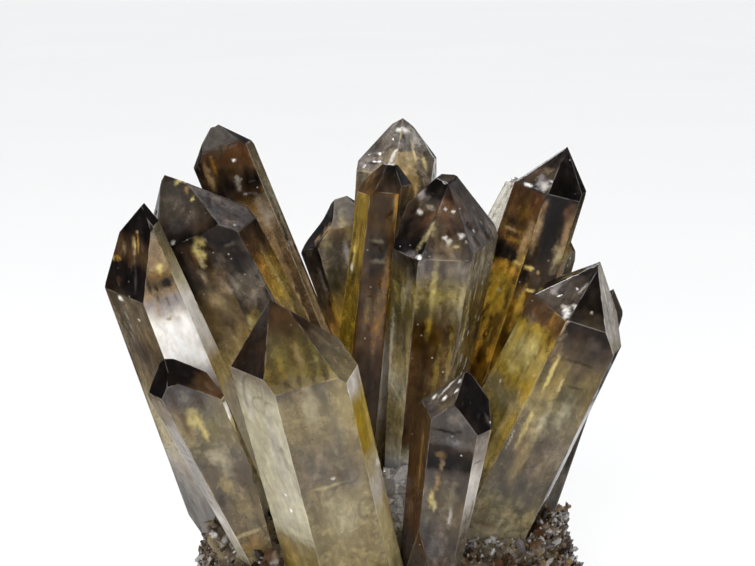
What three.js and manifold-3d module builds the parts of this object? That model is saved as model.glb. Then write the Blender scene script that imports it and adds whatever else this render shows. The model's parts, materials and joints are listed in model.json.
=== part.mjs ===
// Morion (smoky quartz) crystal cluster standing on a druse-covered matrix with a flat sawn base.
// Millimetres, +Z up, +X to the right, +Y to the back. Origin: the centre of the sawn base. The crystals'
// tips are laid out from a point MATRIX_CENTRE away from it, and the whole is moved over at the end.
//
// Every crystal is a tapering hexagonal prism (faces m0..m5) with a rhombohedral cap (faces r0..r5).
// Face 0 looks to the front, the numbers run round to the right: 1 right-front, 2 right-back,
// 3 back, 4 left-back, 5 left-front.
import * as THREE from 'three';
import { ConvexGeometry } from 'three/addons/geometries/ConvexGeometry.js';
import { mergeVertices } from 'three/addons/utils/BufferGeometryUtils.js';
import Module from 'manifold-3d';

const wasm = await Module();
wasm.setup();

// ---------------------------------------------------------------- driving dimensions
const SEAT_GAP = 0.3;          // clearance round every crystal foot and between touching crystals
const RHOMB_TILT = 51.8;       // angle between the long axis and the normal of a cap face
const WELD = 1e-4;             // corners closer than this are one corner

const MATRIX_CENTRE = [3, 4.5];
const MATRIX_HALF_WIDTH = 56;
const MATRIX_HALF_DEPTH = 51.5;
const MATRIX_HEIGHT = 45;
const MATRIX_BOXINESS = 3.5;   // exponent of the dome's super-ellipsoid
const MATRIX_FRONT_DROP = 0.46; // share of its height the dome loses towards the front edge,
const DROP_START = 9;          // beginning this far behind its centre
const DROP_LENGTH = 46;        // and complete this much further forward
const MATRIX_ROUGHNESS = 1.3;
const MATRIX_DETAIL = 7;       // subdivision of the dome's ball
const DRUSE_SEED = 41;

// The small quartz points on the dome. `heights` and `around` bound the places: 0 is the base's rim
// and 1 the top, and the angle runs from the right over the back. `slender` is length over radius,
// `wobble` how far the points stray from looking straight out, `side_trim` how much of its
// spread in length a point loses at the far left and right.
const SMALL_POINTS = {
  count: 190, heights: [0.12, 1], around: [0, 2 * Math.PI], radius: [1.6, 4.2], slender: [0.9, 1.8],
  wobble: 1.1, side_trim: 1,
};
const BACK_POINTS = {
  count: 13, heights: [0.3, 0.65], around: [0.16 * Math.PI, 0.82 * Math.PI], radius: [3, 5.5],
  slender: [1.8, 3.1], wobble: 0.5, side_trim: 0,
};
const GOLDEN_ANGLE = 2.399963;
const POINT_UNDERGROUND = 2;   // how far a druse point reaches into the dome
const POINT_CAP = 1.15;        // height of a druse point's cap over its radius
const CHOSEN_TURN = 0.4;       // turn of the hand-placed points about their own axis, radians

// druse points at chosen places: root, direction, radius, length
const CHOSEN_POINTS = [
  { root: [5, -10, 38], axis: [-0.1, -0.15, 1], radius: 4.5, length: 14 },
  { root: [0.5, -13, 36], axis: [0.2, -0.5, 1], radius: 3, length: 9 },
  { root: [8, -17, 33], axis: [0.3, -0.3, 1], radius: 3, length: 8 },
  { root: [-31, -26, 27], axis: [0.4, -0.6, 1], radius: 3, length: 8 },
  { root: [-37, -13, 33], axis: [-0.2, -0.3, 1], radius: 3.5, length: 10 },
  { root: [-45, -12, 27], axis: [-0.6, -0.3, 1], radius: 3, length: 9 },
  { root: [48, -6, 29], axis: [0.7, -0.3, 1], radius: 3.5, length: 8 },
  { root: [45, -14, 26], axis: [0.4, -0.6, 1], radius: 3, length: 8 },
  { root: [-46, 31, 15], axis: [-0.3, 0.4, 1], radius: 5, length: 13 },
  { root: [-48, 20, 12], axis: [-0.35, 0, 1], radius: 5.5, length: 12 },
  { root: [-47, 8, 14], axis: [-0.4, -0.2, 1], radius: 4, length: 11 },
  { root: [50, 24, 18], axis: [0.3, 0.4, 1], radius: 4.5, length: 11 },
  { root: [52, 12, 19], axis: [0.3, -0.2, 1], radius: 3.5, length: 8 },
];

// tip     reference point of the cap: a cap face with cap value 0 passes through it
// lean    degrees the long axis leans to the right and towards the front
// spin    degrees face 0 is turned to the right, about the long axis
// taper   degrees each prism face closes in towards the foot (negative: towards the tip)
// prism   distance of the faces m0..m5 from the tip's axis, at the tip
// cap     how far the faces r0..r5 sit above the tip, along the axis
// tilt    cap faces that are steeper or flatter than RHOMB_TILT
// bevel   second, steeper cap face above one prism face
// blunt   depth of the flat broken off across the tip
// foot    height of the hidden lower end
// heel    slanting face that narrows the hidden lower end: a point on it and the way it looks
// yields  faces of neighbours this crystal stops against, with SEAT_GAP between
const CRYSTALS = {
  front_left_large: {
    tip: [-29, -46, 107.5], lean: [-12, 17], spin: 8, taper: 0.5, foot: 12,
    prism: [16, 20, 12.5, 16, 13.5, 13],
    cap: [0, 3, 0, 4, 0, 0],
  },
  far_left_tall: {
    tip: [-67.5, -12, 128.7], lean: [-18.5, 17], spin: 2, taper: -2.25, foot: 9,
    prism: [13.5, 9, -1, 9, 18.5, 13],
    cap: [14, 9, 1, 1, -1, 8.5],
    tilt: { 4: 34.5, 5: 66.3 },
    bevel: { side: 4, tilt: 54.8, cap: 4.9 },
    heel: { through: [-52.5, 25.7, 25.3], facing: [-0.62, 0.42, -0.66] },
  },
  left_broad: {
    tip: [-62.5, 10, 134.5], lean: [-27.5, 4], spin: -11, taper: 1, foot: 32,
    prism: [14.5, 21.5, 15, 14.5, 20, 14.5],
    cap: [0, 4.5, 0, 1, 0, 1],
    yields: [['centre_back_tall', 'm4'], ['centre_back_brown', 'm4']],
  },
  back_left_tall: {
    tip: [-48.5, 38, 146.5], lean: [-22, -2], spin: 14, taper: 0, foot: 32,
    prism: [5, 6.5, 7.5, 9, 9.5, 12.5],
    cap: [0, 0, 0, 0, 3, 6.5],
    yields: [['left_broad', 'm3'], ['centre_back_tall', 'm3']],
  },
  back_dark: {
    tip: [-9.5, 46, 123.5], lean: [-16, -3], spin: 8.5, taper: 1, foot: 26,
    prism: [7, 12.5, 8.5, 7, 19, 14],
    cap: [0, 0, 0, 0, 5.5, 4.5],
    yields: [['back_left_tall', 'm1'], ['right_back', 'm4'], ['centre_back_tall', 'm3']],
  },
  centre_back_tall: {
    tip: [7.5, 22, 150], lean: [3.5, -1.5], spin: 23, taper: 0, foot: 30,
    prism: [12.5, 10.5, 12.5, 12.5, 12, 12.5],
    cap: [0, 2, 0, 0, 2, 0],
    yields: [['right_large', 'm4']],
  },
  centre_back_brown: {
    tip: [4, 6, 140.5], lean: [6, 2], spin: 4, taper: -1, foot: 30,
    prism: [7.5, 6, 8, 7.5, 6.5, 8.5],
    cap: [0, 0, 0, 0, 0, 0],
    blunt: 2.5,
  },
  centre_cloudy: {
    tip: [20.5, -11, 141.5], lean: [6, 11], spin: 9, taper: 3.5, foot: 28,
    prism: [19.5, 15.5, 17, 18.5, 10.5, 18.5],
    cap: [-1, -4.5, 0, 0, -2, -3],
    blunt: 6,
    yields: [['right_large', 'm4'], ['centre_back_tall', 'm0']],
  },
  right_back: {
    tip: [57, 26, 141], lean: [17, 3], spin: 18, taper: -1, foot: 24,
    prism: [10.5, 9, 11, 10.5, 11, 11],
    cap: [0, 0, 0, 0, 0, 0],
    yields: [['centre_back_tall', 'm1'], ['right_large', 'm3']],
  },
  right_back_clear_blade: {
    tip: [43.5, 31, 132], lean: [27, 3], spin: 18, taper: 0, foot: 92,
    prism: [3, 4, 4, 3, 3, 3],
    cap: [0, 0, 0, 0, 0, 0],
    blunt: 1.5,
  },
  right_back_bud: {
    tip: [58.5, 34, 112.5], lean: [16, -6], spin: 7, taper: 0, foot: 70,
    prism: [6, 3, 5, 6, 3.5, 5],
    cap: [0, 0, 0, 0, 0, 0],
  },
  right_large: {
    tip: [62, -18, 112.5], lean: [23.5, 13], spin: 15, taper: -1.5, foot: 15,
    prism: [11, 15.5, 13, 12, 12, 10.5],
    cap: [0, 0, 4, 4, 0, -1],
  },
  right_edge_dark: {
    tip: [70.5, 16, 99.5], lean: [16.5, 2], spin: 24, taper: 1, foot: 22,
    prism: [8, 5, 7.5, 8, 5.5, 7.5],
    cap: [0, 0, 0, 0, 0, 0],
  },
  small_left_front: {
    tip: [-57.5, -39, 90.5], lean: [-21, 17.5], spin: 0, taper: 3, foot: 14,
    prism: [6, 11.5, 8, 7, 11, 8],
    cap: [1, -2, 0, 0, 2.5, 0.5],
    yields: [['front_left_large', 'm5']],
  },
  small_right_front: {
    tip: [24.5, -47, 88.5], lean: [7, 17], spin: -13, taper: 2.5, foot: 12,
    prism: [9, 10.5, 7, 9.5, 16.5, 10.5],
    cap: [4.5, -2, 0, 0, 0, 0],
    yields: [['front_left_large', 'm2']],
  },
};

// the named parts: crystals that have grown into one another are one solid
const PARTS = {
  crystal_front_left_large: ['front_left_large'],
  crystal_far_left_tall: ['far_left_tall'],
  crystal_left_broad: ['left_broad'],
  crystal_back_left_tall: ['back_left_tall'],
  crystal_back_dark: ['back_dark'],
  crystal_centre_back_pair: ['centre_back_tall', 'centre_back_brown'],
  crystal_centre_cloudy: ['centre_cloudy'],
  crystal_right_back_group: ['right_back', 'right_back_clear_blade', 'right_back_bud'],
  crystal_right_large: ['right_large'],
  crystal_right_edge_dark: ['right_edge_dark'],
  crystal_small_left_front: ['small_left_front'],
  crystal_small_right_front: ['small_right_front'],
};

const COLOURS = {
  crystal_front_left_large: 0xb8ac6a,
  crystal_far_left_tall: 0x7d6a50,
  crystal_left_broad: 0x5d5238,
  crystal_back_left_tall: 0x4a3826,
  crystal_back_dark: 0x3a2c20,
  crystal_centre_back_pair: 0x93794a,
  crystal_centre_cloudy: 0x7c745c,
  crystal_right_back_group: 0x6b4f1d,
  crystal_right_large: 0xa2924c,
  crystal_right_edge_dark: 0x2e2519,
  crystal_small_left_front: 0x8a7f5a,
  crystal_small_right_front: 0x6f6a66,
  matrix_druse: 0x7a6a5c,
};

// ---------------------------------------------------------------- crystals as sets of planes
const rad = THREE.MathUtils.degToRad;

function crystalAxes([toRight, toFront]) {
  const axis = new THREE.Vector3(Math.tan(rad(toRight)), -Math.tan(rad(toFront)), 1).normalize();
  const front = new THREE.Vector3(0, -1, 0);
  front.addScaledVector(axis, -front.dot(axis)).normalize();
  const right = new THREE.Vector3().crossVectors(axis, front);
  return { axis, front, right };
}

function capFace(tip, axis, outward, tilt, height) {
  const slope = outward.clone().multiplyScalar(Math.sin(tilt)).addScaledVector(axis, Math.cos(tilt));
  return { normal: slope, offset: slope.dot(tip) + height * Math.cos(tilt) };
}

// each plane keeps the side where normal . X <= offset
function growthPlanes(spec) {
  const { axis, front, right } = crystalAxes(spec.lean);
  const tip = new THREE.Vector3(...spec.tip);
  const taper = rad(spec.taper);
  const planes = {};
  for (let k = 0; k < 6; k += 1) {
    const turn = rad(spec.spin + 60 * k);
    const outward = front.clone().multiplyScalar(Math.cos(turn));
    outward.addScaledVector(right, Math.sin(turn));
    const wall = outward.clone().multiplyScalar(Math.cos(taper));
    wall.addScaledVector(axis, -Math.sin(taper));
    planes['m' + k] = { normal: wall, offset: wall.dot(tip) + spec.prism[k] * Math.cos(taper) };
    const tilt = rad(spec.tilt?.[k] ?? RHOMB_TILT);
    planes['r' + k] = capFace(tip, axis, outward, tilt, spec.cap[k]);
    if (spec.bevel?.side === k) {
      planes.bevel = capFace(tip, axis, outward, rad(spec.bevel.tilt), spec.bevel.cap);
    }
  }
  return planes;
}

function allPlanes(spec) {
  const planes = Object.values(growthPlanes(spec));
  planes.push({ normal: new THREE.Vector3(0, 0, -1), offset: -spec.foot });
  if (spec.blunt) {
    const { axis } = crystalAxes(spec.lean);
    planes.push({ normal: axis, offset: axis.dot(new THREE.Vector3(...spec.tip)) - spec.blunt });
  }
  if (spec.heel) {
    const facing = new THREE.Vector3(...spec.heel.facing).normalize();
    planes.push({ normal: facing, offset: facing.dot(new THREE.Vector3(...spec.heel.through)) });
  }
  for (const [neighbour, face] of spec.yields ?? []) {
    const stop = growthPlanes(CRYSTALS[neighbour])[face];
    planes.push({ normal: stop.normal.clone().negate(), offset: -stop.offset - SEAT_GAP });
  }
  return planes;
}

function cornerOf(a, b, c) {
  const bc = new THREE.Vector3().crossVectors(b.normal, c.normal);
  const volume = a.normal.dot(bc);
  if (Math.abs(volume) < 1e-7) return null;
  const corner = bc.multiplyScalar(a.offset);
  corner.addScaledVector(new THREE.Vector3().crossVectors(c.normal, a.normal), b.offset);
  corner.addScaledVector(new THREE.Vector3().crossVectors(a.normal, b.normal), c.offset);
  return corner.divideScalar(volume);
}

// the convex body between the planes, all of them moved outwards by `grow`
function bodyBetween(planes, grow = 0) {
  const moved = planes.map((p) => ({ normal: p.normal, offset: p.offset + grow }));
  const corners = [];
  for (let i = 0; i < moved.length; i += 1) {
    for (let j = i + 1; j < moved.length; j += 1) {
      for (let k = j + 1; k < moved.length; k += 1) {
        const corner = cornerOf(moved[i], moved[j], moved[k]);
        if (!corner) continue;
        if (moved.some((p) => p.normal.dot(corner) > p.offset + 1e-6)) continue;
        if (corners.some((c) => c.distanceTo(corner) < 0.02)) continue;
        corners.push(corner);
      }
    }
  }
  return new ConvexGeometry(corners);
}

// ---------------------------------------------------------------- joining and cutting
function toSolid(geometry) {
  const bare = geometry.clone();
  bare.deleteAttribute('normal');
  bare.deleteAttribute('uv');
  const welded = mergeVertices(bare, WELD);
  return new wasm.Manifold(new wasm.Mesh({
    numProp: 3,
    vertProperties: new Float32Array(welded.attributes.position.array),
    triVerts: new Uint32Array(welded.index.array),
  }));
}

function toGeometry(solid) {
  const mesh = solid.getMesh();
  const geometry = new THREE.BufferGeometry();
  const position = new Float32Array(mesh.numVert * 3);
  for (let i = 0; i < mesh.numVert; i += 1) {
    for (let k = 0; k < 3; k += 1) {
      position[3 * i + k] = mesh.vertProperties[mesh.numProp * i + k];
    }
  }
  geometry.setAttribute('position', new THREE.BufferAttribute(position, 3));
  geometry.setIndex(new THREE.BufferAttribute(new Uint32Array(mesh.triVerts), 1));
  geometry.computeVertexNormals();
  return geometry;
}

function largestPiece(solid) {
  const pieces = solid.decompose();
  pieces.sort((a, b) => b.volume() - a.volume());
  return pieces[0];
}

// ---------------------------------------------------------------- matrix
function seededRandom(seed) {
  let state = seed;
  return () => {
    state = (state * 1664525 + 1013904223) % 4294967296;
    return state / 4294967296;
  };
}

// dome surface in the direction (x, y, z) seen from the centre of the base
function domePoint(direction, rough = true) {
  const power = MATRIX_BOXINESS;
  const { x, y, z } = direction;
  const sum = Math.abs(x / MATRIX_HALF_WIDTH) ** power
    + Math.abs(y / MATRIX_HALF_DEPTH) ** power
    + Math.abs(z / MATRIX_HEIGHT) ** power;
  const point = direction.clone().multiplyScalar(sum ** (-1 / power));
  if (rough) {
    const wave = Math.sin(0.23 * point.x + 1.1) * Math.cos(0.19 * point.y - 0.4)
      + 0.6 * Math.sin(0.41 * point.z + 0.33 * point.y)
      + 0.5 * Math.sin(0.52 * point.x - 0.37 * point.z + 2);
    point.addScaledVector(direction.clone().normalize(), MATRIX_ROUGHNESS * wave);
  }
  point.z *= 1 - MATRIX_FRONT_DROP * THREE.MathUtils.clamp((DROP_START - point.y) / DROP_LENGTH, 0, 1);
  point.x += MATRIX_CENTRE[0];
  point.y += MATRIX_CENTRE[1];
  return point;
}

function matrixDome() {
  const ball = mergeVertices(bareBall(), WELD);
  const position = ball.attributes.position;
  for (let i = 0; i < position.count; i += 1) {
    const direction = new THREE.Vector3().fromBufferAttribute(position, i);
    const point = domePoint(direction);
    position.setXYZ(i, point.x, point.y, point.z);
  }
  return toSolid(ball).trimByPlane([0, 0, 1], 0);
}

function bareBall() {
  const ball = new THREE.IcosahedronGeometry(1, MATRIX_DETAIL);
  ball.deleteAttribute('normal');
  ball.deleteAttribute('uv');
  return ball;
}

// a small six-sided quartz point growing from `root` along `axis`
function quartzPoint(root, axis, radius, length, turn) {
  const side = new THREE.Vector3(1, 0.3, 0.2).cross(axis).normalize();
  const other = new THREE.Vector3().crossVectors(axis, side);
  const shoulder = length - POINT_CAP * radius;
  const corners = [root.clone().addScaledVector(axis, length)];
  for (let k = 0; k < 6; k += 1) {
    const a = turn + (k * Math.PI) / 3;
    const rim = side.clone().multiplyScalar(radius * Math.cos(a));
    rim.addScaledVector(other, radius * Math.sin(a));
    corners.push(root.clone().addScaledVector(axis, shoulder).add(rim));
    corners.push(root.clone().addScaledVector(axis, -POINT_UNDERGROUND).addScaledVector(rim, 0.9));
  }
  return new ConvexGeometry(corners);
}

function insideAny(point, bodies, margin) {
  return bodies.some((planes) => planes.every((p) => p.normal.dot(point) < p.offset + margin));
}

// a point on the dome: `height` 0..1 from the base to the top, `around` the compass angle
function domeSpot(height, around) {
  const flat = Math.sqrt(1 - height * height);
  const direction = new THREE.Vector3(flat * Math.cos(around), flat * Math.sin(around), height);
  return { direction, root: domePoint(direction) };
}

function between([low, high], share) {
  return low + (high - low) * share;
}

// quartz points spread evenly over the dome, left out where one would start inside a crystal
function drusePoints(kind, random, bodies) {
  const points = [];
  for (let i = 0; i < kind.count; i += 1) {
    const height = between(kind.heights, (i + 0.5) / kind.count);
    const turnShare = (i * GOLDEN_ANGLE + 0.4 * random()) / (2 * Math.PI);
    const { direction, root } = domeSpot(height, between(kind.around, turnShare % 1));
    const radius = between(kind.radius, random() ** 2);
    const spread = random() * (1 - kind.side_trim * Math.abs(direction.x));
    const length = radius * between(kind.slender, spread);
    const stray = new THREE.Vector3(random() - 0.5, random() - 0.5, random() - 0.5);
    const axis = new THREE.Vector3(direction.x, direction.y, direction.z + 0.3);
    axis.addScaledVector(stray, kind.wobble).normalize();
    const turn = random() * Math.PI;
    const end = root.clone().addScaledVector(axis, length);
    if (insideAny(root, bodies, 0.5 * radius) || insideAny(end, bodies, 0)) continue;
    points.push(toSolid(quartzPoint(root, axis, radius, length, turn)));
  }
  return points;
}

function matrixWithDruse() {
  const random = seededRandom(DRUSE_SEED);
  const bodies = Object.values(CRYSTALS).map(allPlanes);
  const solids = [
    matrixDome(),
    ...drusePoints(SMALL_POINTS, random, bodies),
    ...drusePoints(BACK_POINTS, random, bodies),
  ];
  for (const point of CHOSEN_POINTS) {
    const root = new THREE.Vector3(...point.root);
    const axis = new THREE.Vector3(...point.axis).normalize();
    solids.push(toSolid(quartzPoint(root, axis, point.radius, point.length, CHOSEN_TURN)));
  }
  let matrix = wasm.Manifold.union(solids);
  for (const planes of bodies) {
    matrix = matrix.subtract(toSolid(bodyBetween(planes, SEAT_GAP)));
  }
  return largestPiece(matrix);
}

// ---------------------------------------------------------------- assembly
function namedMesh(name, geometry, options = {}) {
  const material = new THREE.MeshStandardMaterial({
    color: COLOURS[name],
    roughness: 0.15,
    metalness: 0,
    name: name + '_material',
    ...options,
  });
  const mesh = new THREE.Mesh(geometry, material);
  mesh.name = name;
  return mesh;
}

const cluster = new THREE.Group();
cluster.name = 'morion_quartz_cluster';

for (const [name, members] of Object.entries(PARTS)) {
  const bodies = members.map((member) => bodyBetween(allPlanes(CRYSTALS[member])));
  let geometry = bodies[0];
  if (bodies.length > 1) geometry = toGeometry(wasm.Manifold.union(bodies.map(toSolid)));
  cluster.add(namedMesh(name, geometry, { transparent: true, opacity: 0.6 }));
}
cluster.add(namedMesh('matrix_druse', toGeometry(matrixWithDruse()), { roughness: 0.8 }));

for (const mesh of cluster.children) {
  mesh.geometry.translate(-MATRIX_CENTRE[0], -MATRIX_CENTRE[1], 0);
}

export default cluster;
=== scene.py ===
# Morion quartz cluster: see-through smoky crystals on a druse-covered matrix, in a plain white studio.
# Lengths are millimetres in the part's frame, which MM turns into Blender's metres. The studio is in metres.
import json
import math
import re

import bmesh
import bpy
import numpy as np
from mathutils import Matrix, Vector
from mathutils.bvhtree import BVHTree
from mathutils.geometry import delaunay_2d_cdt

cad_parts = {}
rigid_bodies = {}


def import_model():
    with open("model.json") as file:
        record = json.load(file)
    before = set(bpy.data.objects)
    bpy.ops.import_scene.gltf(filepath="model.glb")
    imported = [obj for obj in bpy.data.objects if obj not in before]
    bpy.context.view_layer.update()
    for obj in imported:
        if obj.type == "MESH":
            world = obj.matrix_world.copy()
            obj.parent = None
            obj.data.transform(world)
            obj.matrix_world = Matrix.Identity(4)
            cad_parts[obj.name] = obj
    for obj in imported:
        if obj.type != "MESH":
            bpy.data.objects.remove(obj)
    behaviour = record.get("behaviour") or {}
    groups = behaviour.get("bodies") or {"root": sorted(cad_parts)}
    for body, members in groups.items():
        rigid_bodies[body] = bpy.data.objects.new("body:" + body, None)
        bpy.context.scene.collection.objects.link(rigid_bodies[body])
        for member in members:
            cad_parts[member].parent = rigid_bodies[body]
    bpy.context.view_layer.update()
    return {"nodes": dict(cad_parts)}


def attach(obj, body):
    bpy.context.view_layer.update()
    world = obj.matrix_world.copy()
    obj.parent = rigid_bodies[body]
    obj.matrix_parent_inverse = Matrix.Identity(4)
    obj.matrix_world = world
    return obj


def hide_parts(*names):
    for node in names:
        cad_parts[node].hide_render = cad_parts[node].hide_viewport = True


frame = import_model()
MM = 0.001

# ------------------------------------------------------------------ colours


def linear(code):
    """Linear colour of an sRGB hex code."""
    parts = [int(code[i:i + 2], 16) / 255 for i in (0, 2, 4)]
    return np.array([c / 12.92 if c <= 0.04045 else ((c + 0.055) / 1.055) ** 2.4 for c in parts])


SWATCHES = dict(
    ink="15110f", bark="2e231a", dusk="3f372d", umber="4f3b26", rust="61422a", tar="3b270a", resin="54380f",
    bronze="644e26", amber="96702e", honey="96803a", gold="b89a36", straw="d6c37c", tan="a88c66",
    olive="7f6f3c", moss="645838", slate="4c443f", ash="63584e", smoke="7c6f5b", haze="9c8d68",
    sage="b09f6c", cream="cabb8c", twilight="93887a", lilac="a09896", fog="aaa088", milk="c3bb9f",
    pearl="d3ccc2", white="f4f0ea",
)
COLOURS = {name: linear(code) for name, code in SWATCHES.items()}


def tones(names):
    """The colours of a list of names."""
    return [COLOURS[name] for name in names.split()]


# ------------------------------------------------------------------ noise


def lattice(i, j, k, seed):
    """A fixed number from 0 to 1 for every whole point of space."""
    n = (i * 73856093) ^ (j * 19349663) ^ (k * 83492791) ^ (seed * 374761393)
    n = n & 0xFFFFFFFF
    n = ((n ^ (n >> 13)) * 1274126177) & 0xFFFFFFFF
    n = ((n ^ (n >> 16)) * 2246822519) & 0xFFFFFFFF
    return ((n ^ (n >> 15)) & 0xFFFFFF) / 0xFFFFFF


def noise(points, seed):
    """Smooth noise from -1 to 1 at an (n, 3) array of points, one feature per unit."""
    cell = np.floor(points).astype(np.int64)
    part = points - cell
    ease = part * part * (3 - 2 * part)
    total = np.zeros(len(points))
    for dx in (0, 1):
        wx = ease[:, 0] if dx else 1 - ease[:, 0]
        for dy in (0, 1):
            wy = ease[:, 1] if dy else 1 - ease[:, 1]
            for dz in (0, 1):
                wz = ease[:, 2] if dz else 1 - ease[:, 2]
                total += wx * wy * wz * lattice(cell[:, 0] + dx, cell[:, 1] + dy, cell[:, 2] + dz, seed)
    return 2 * total - 1


FADE = 0.55  # how strong each layer of noise is beside the last


def fbm(points, octaves, seed):
    """Layers of noise, each with features half as large as the last."""
    total = np.zeros(len(points))
    weight, norm = 1.0, 0.0
    for octave in range(octaves):
        total += weight * noise(points * 2 ** octave, seed + 17 * octave)
        norm += weight
        weight *= FADE
    return total / norm


def smooth(low, high, value):
    """A soft step from 0 at low to 1 at high."""
    t = np.clip((value - low) / (high - low), 0, 1)
    return t * t * (3 - 2 * t)


def seed_of(name):
    """A fixed seed for a piece's name."""
    return sum(ord(c) for c in name)


# ------------------------------------------------------------------ crystal descriptions
# Tip, lean and spin are those of the CAD crystal: the tip before the frame's shift to the base's centre, the
# lean in degrees to the right and to the front, the spin in degrees of face 0 to the right.
# Faces are m0 to m5 around the prism and r0 to r5 on the cap, and 0 looks to the front before the spin.
# The first table paints faces by stops, each "along colour clearness". Along counts down from the tip, and
# body is for the faces without stops of their own. Clearness is 1 for tinted glass and 0 for milk.
# The second table adds dabs, which are local clouds, flecks and chips, each "along across half-length
# half-width colour strength clearness"; many of the small white and pearl dabs are painted glints and
# painted reflections. Across counts to the right, as seen from outside.
TIP_SHIFT = np.array([-3.0, -4.5, 0.0])
USUAL_CLEARNESS = 0.4  # where an entry gives none
DAB_CLEARNESS = 0.55  # clouds, flecks and painted glints are milkier than the crystal around them
CRYSTALS = {}


def entries(table):
    """The face and the words of every entry in a table, where commas part the entries."""
    parts = re.split(r"(\w+):", table)
    for face, row in zip(parts[1::2], parts[2::2]):
        for entry in row.split(","):
            yield face, entry.split()


def clearness(words, place):
    """The clearness in an entry's words, or the usual one."""
    return float(words[place]) if len(words) > place else USUAL_CLEARNESS


def crystal(name, tip, lean, spin, stops, dabs="", node=None, mottle=0.35, swell=0):
    """Notes one crystal down: where it stands in the CAD model, and how it is painted."""
    faces = {}
    for face, words in entries(stops):
        stop = (float(words[0]), *COLOURS[words[1]], clearness(words, 2))
        faces.setdefault(face, []).append(stop)
    dabs_with_glints = []
    for face, words in entries(dabs):
        tint = np.array([*COLOURS[words[4]], DAB_CLEARNESS * clearness(words, 6)])
        dabs_with_glints.append((face, [float(w) for w in (*words[:4], words[5])], tint))
    CRYSTALS[name] = dict(
        node=node or "crystal_" + name, tip=np.array(tip) + TIP_SHIFT, lean=lean, spin=spin,
        faces=faces, dabs=dabs_with_glints, mottle=mottle, swell=swell,
    )


crystal("front_left_large", (-29, -46, 107.5), (-12, 17), 8, """
body: 0 ink .5, 12 bark .5, 22 umber .5, 28 haze .5, 60 sage .45, 95 cream
r5: 0 dusk .5, 8 bark .5, 19 ink .5, 25 bark .5
r0: 0 bark, 6 umber, 12 olive .35, 17 olive .35, 20 haze .35, 24 olive .35
r1: 0 ink, 9 bark, 15 smoke, 20 haze
m5: 18 twilight .3, 24 milk .25, 61 milk .25, 69 milk .3, 72 haze .35, 84 honey .35, 95 amber
m0: 18 ash, 26 haze, 34 haze, 42 smoke, 50 smoke, 58 haze, 76 haze, 84 olive
m1: 26 pearl .25, 32 gold .3, 44 gold .3, 49 cream .3, 58 pearl .3, 66 cream .3, 95 sage
""", """
r0: 10 -4.5 8 1.5 bark .8 .5, 15 1.5 6 1 umber .8 .5, 14 6 7 1.2 bark .8 .5, 18 -2 5 .8 umber .7 .5,
  17 9 5 1 bark .8 .5, 21 -7 1.5 2.5 umber .7 .5, 7 1 3 5 bark .7 .5, 13 3.5 3 .8 tan .6 .5,
  14 -2 3 .8 honey .6 .5, 21.5 4 .6 5 bark .6 .5
r5: 21 4 1.5 .3 pearl .7 .3
m5: 38 4.5 12 1.8 lilac .5, 27 -3 6 2.5 pearl .5 .3, 32 -1 4 2 cream .35 .3, 55 3 .5 .6 white .9 .1,
  60 3.6 .6 .5 white .9 .1, 71 1 1.2 1.2 lilac .7 .5, 76 -3 3 3 amber .4 .5
m0: 27 -5 7 3 haze .5 .5, 26 3 7 2 milk .4 .3, 30 8 7 2 smoke .5 .5, 43 2 7 6 smoke .5 .5,
  51 9 4 3.5 ash .7 .5, 36 8 6 3 smoke .5 .5, 45 -6 5 3 smoke .5 .5, 53 -9 .35 2.6 white .8 .2,
  52 2 .6 5 cream .4 .3, 57 -8 3 4 smoke .5 .5, 62 5 8 6 milk .4, 50 4 .5 .6 white .8 .1
m1: 22 -2 5 1.2 white .6 .3, 40 1 9 1.4 straw .5, 28 1 5 .8 olive .5 .5, 34 -1 2 1 olive .5 .5,
  53 2 1.2 3 white .8 .1, 66 1 8 1.5 amber .5 .5
""", mottle=0.16)
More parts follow.
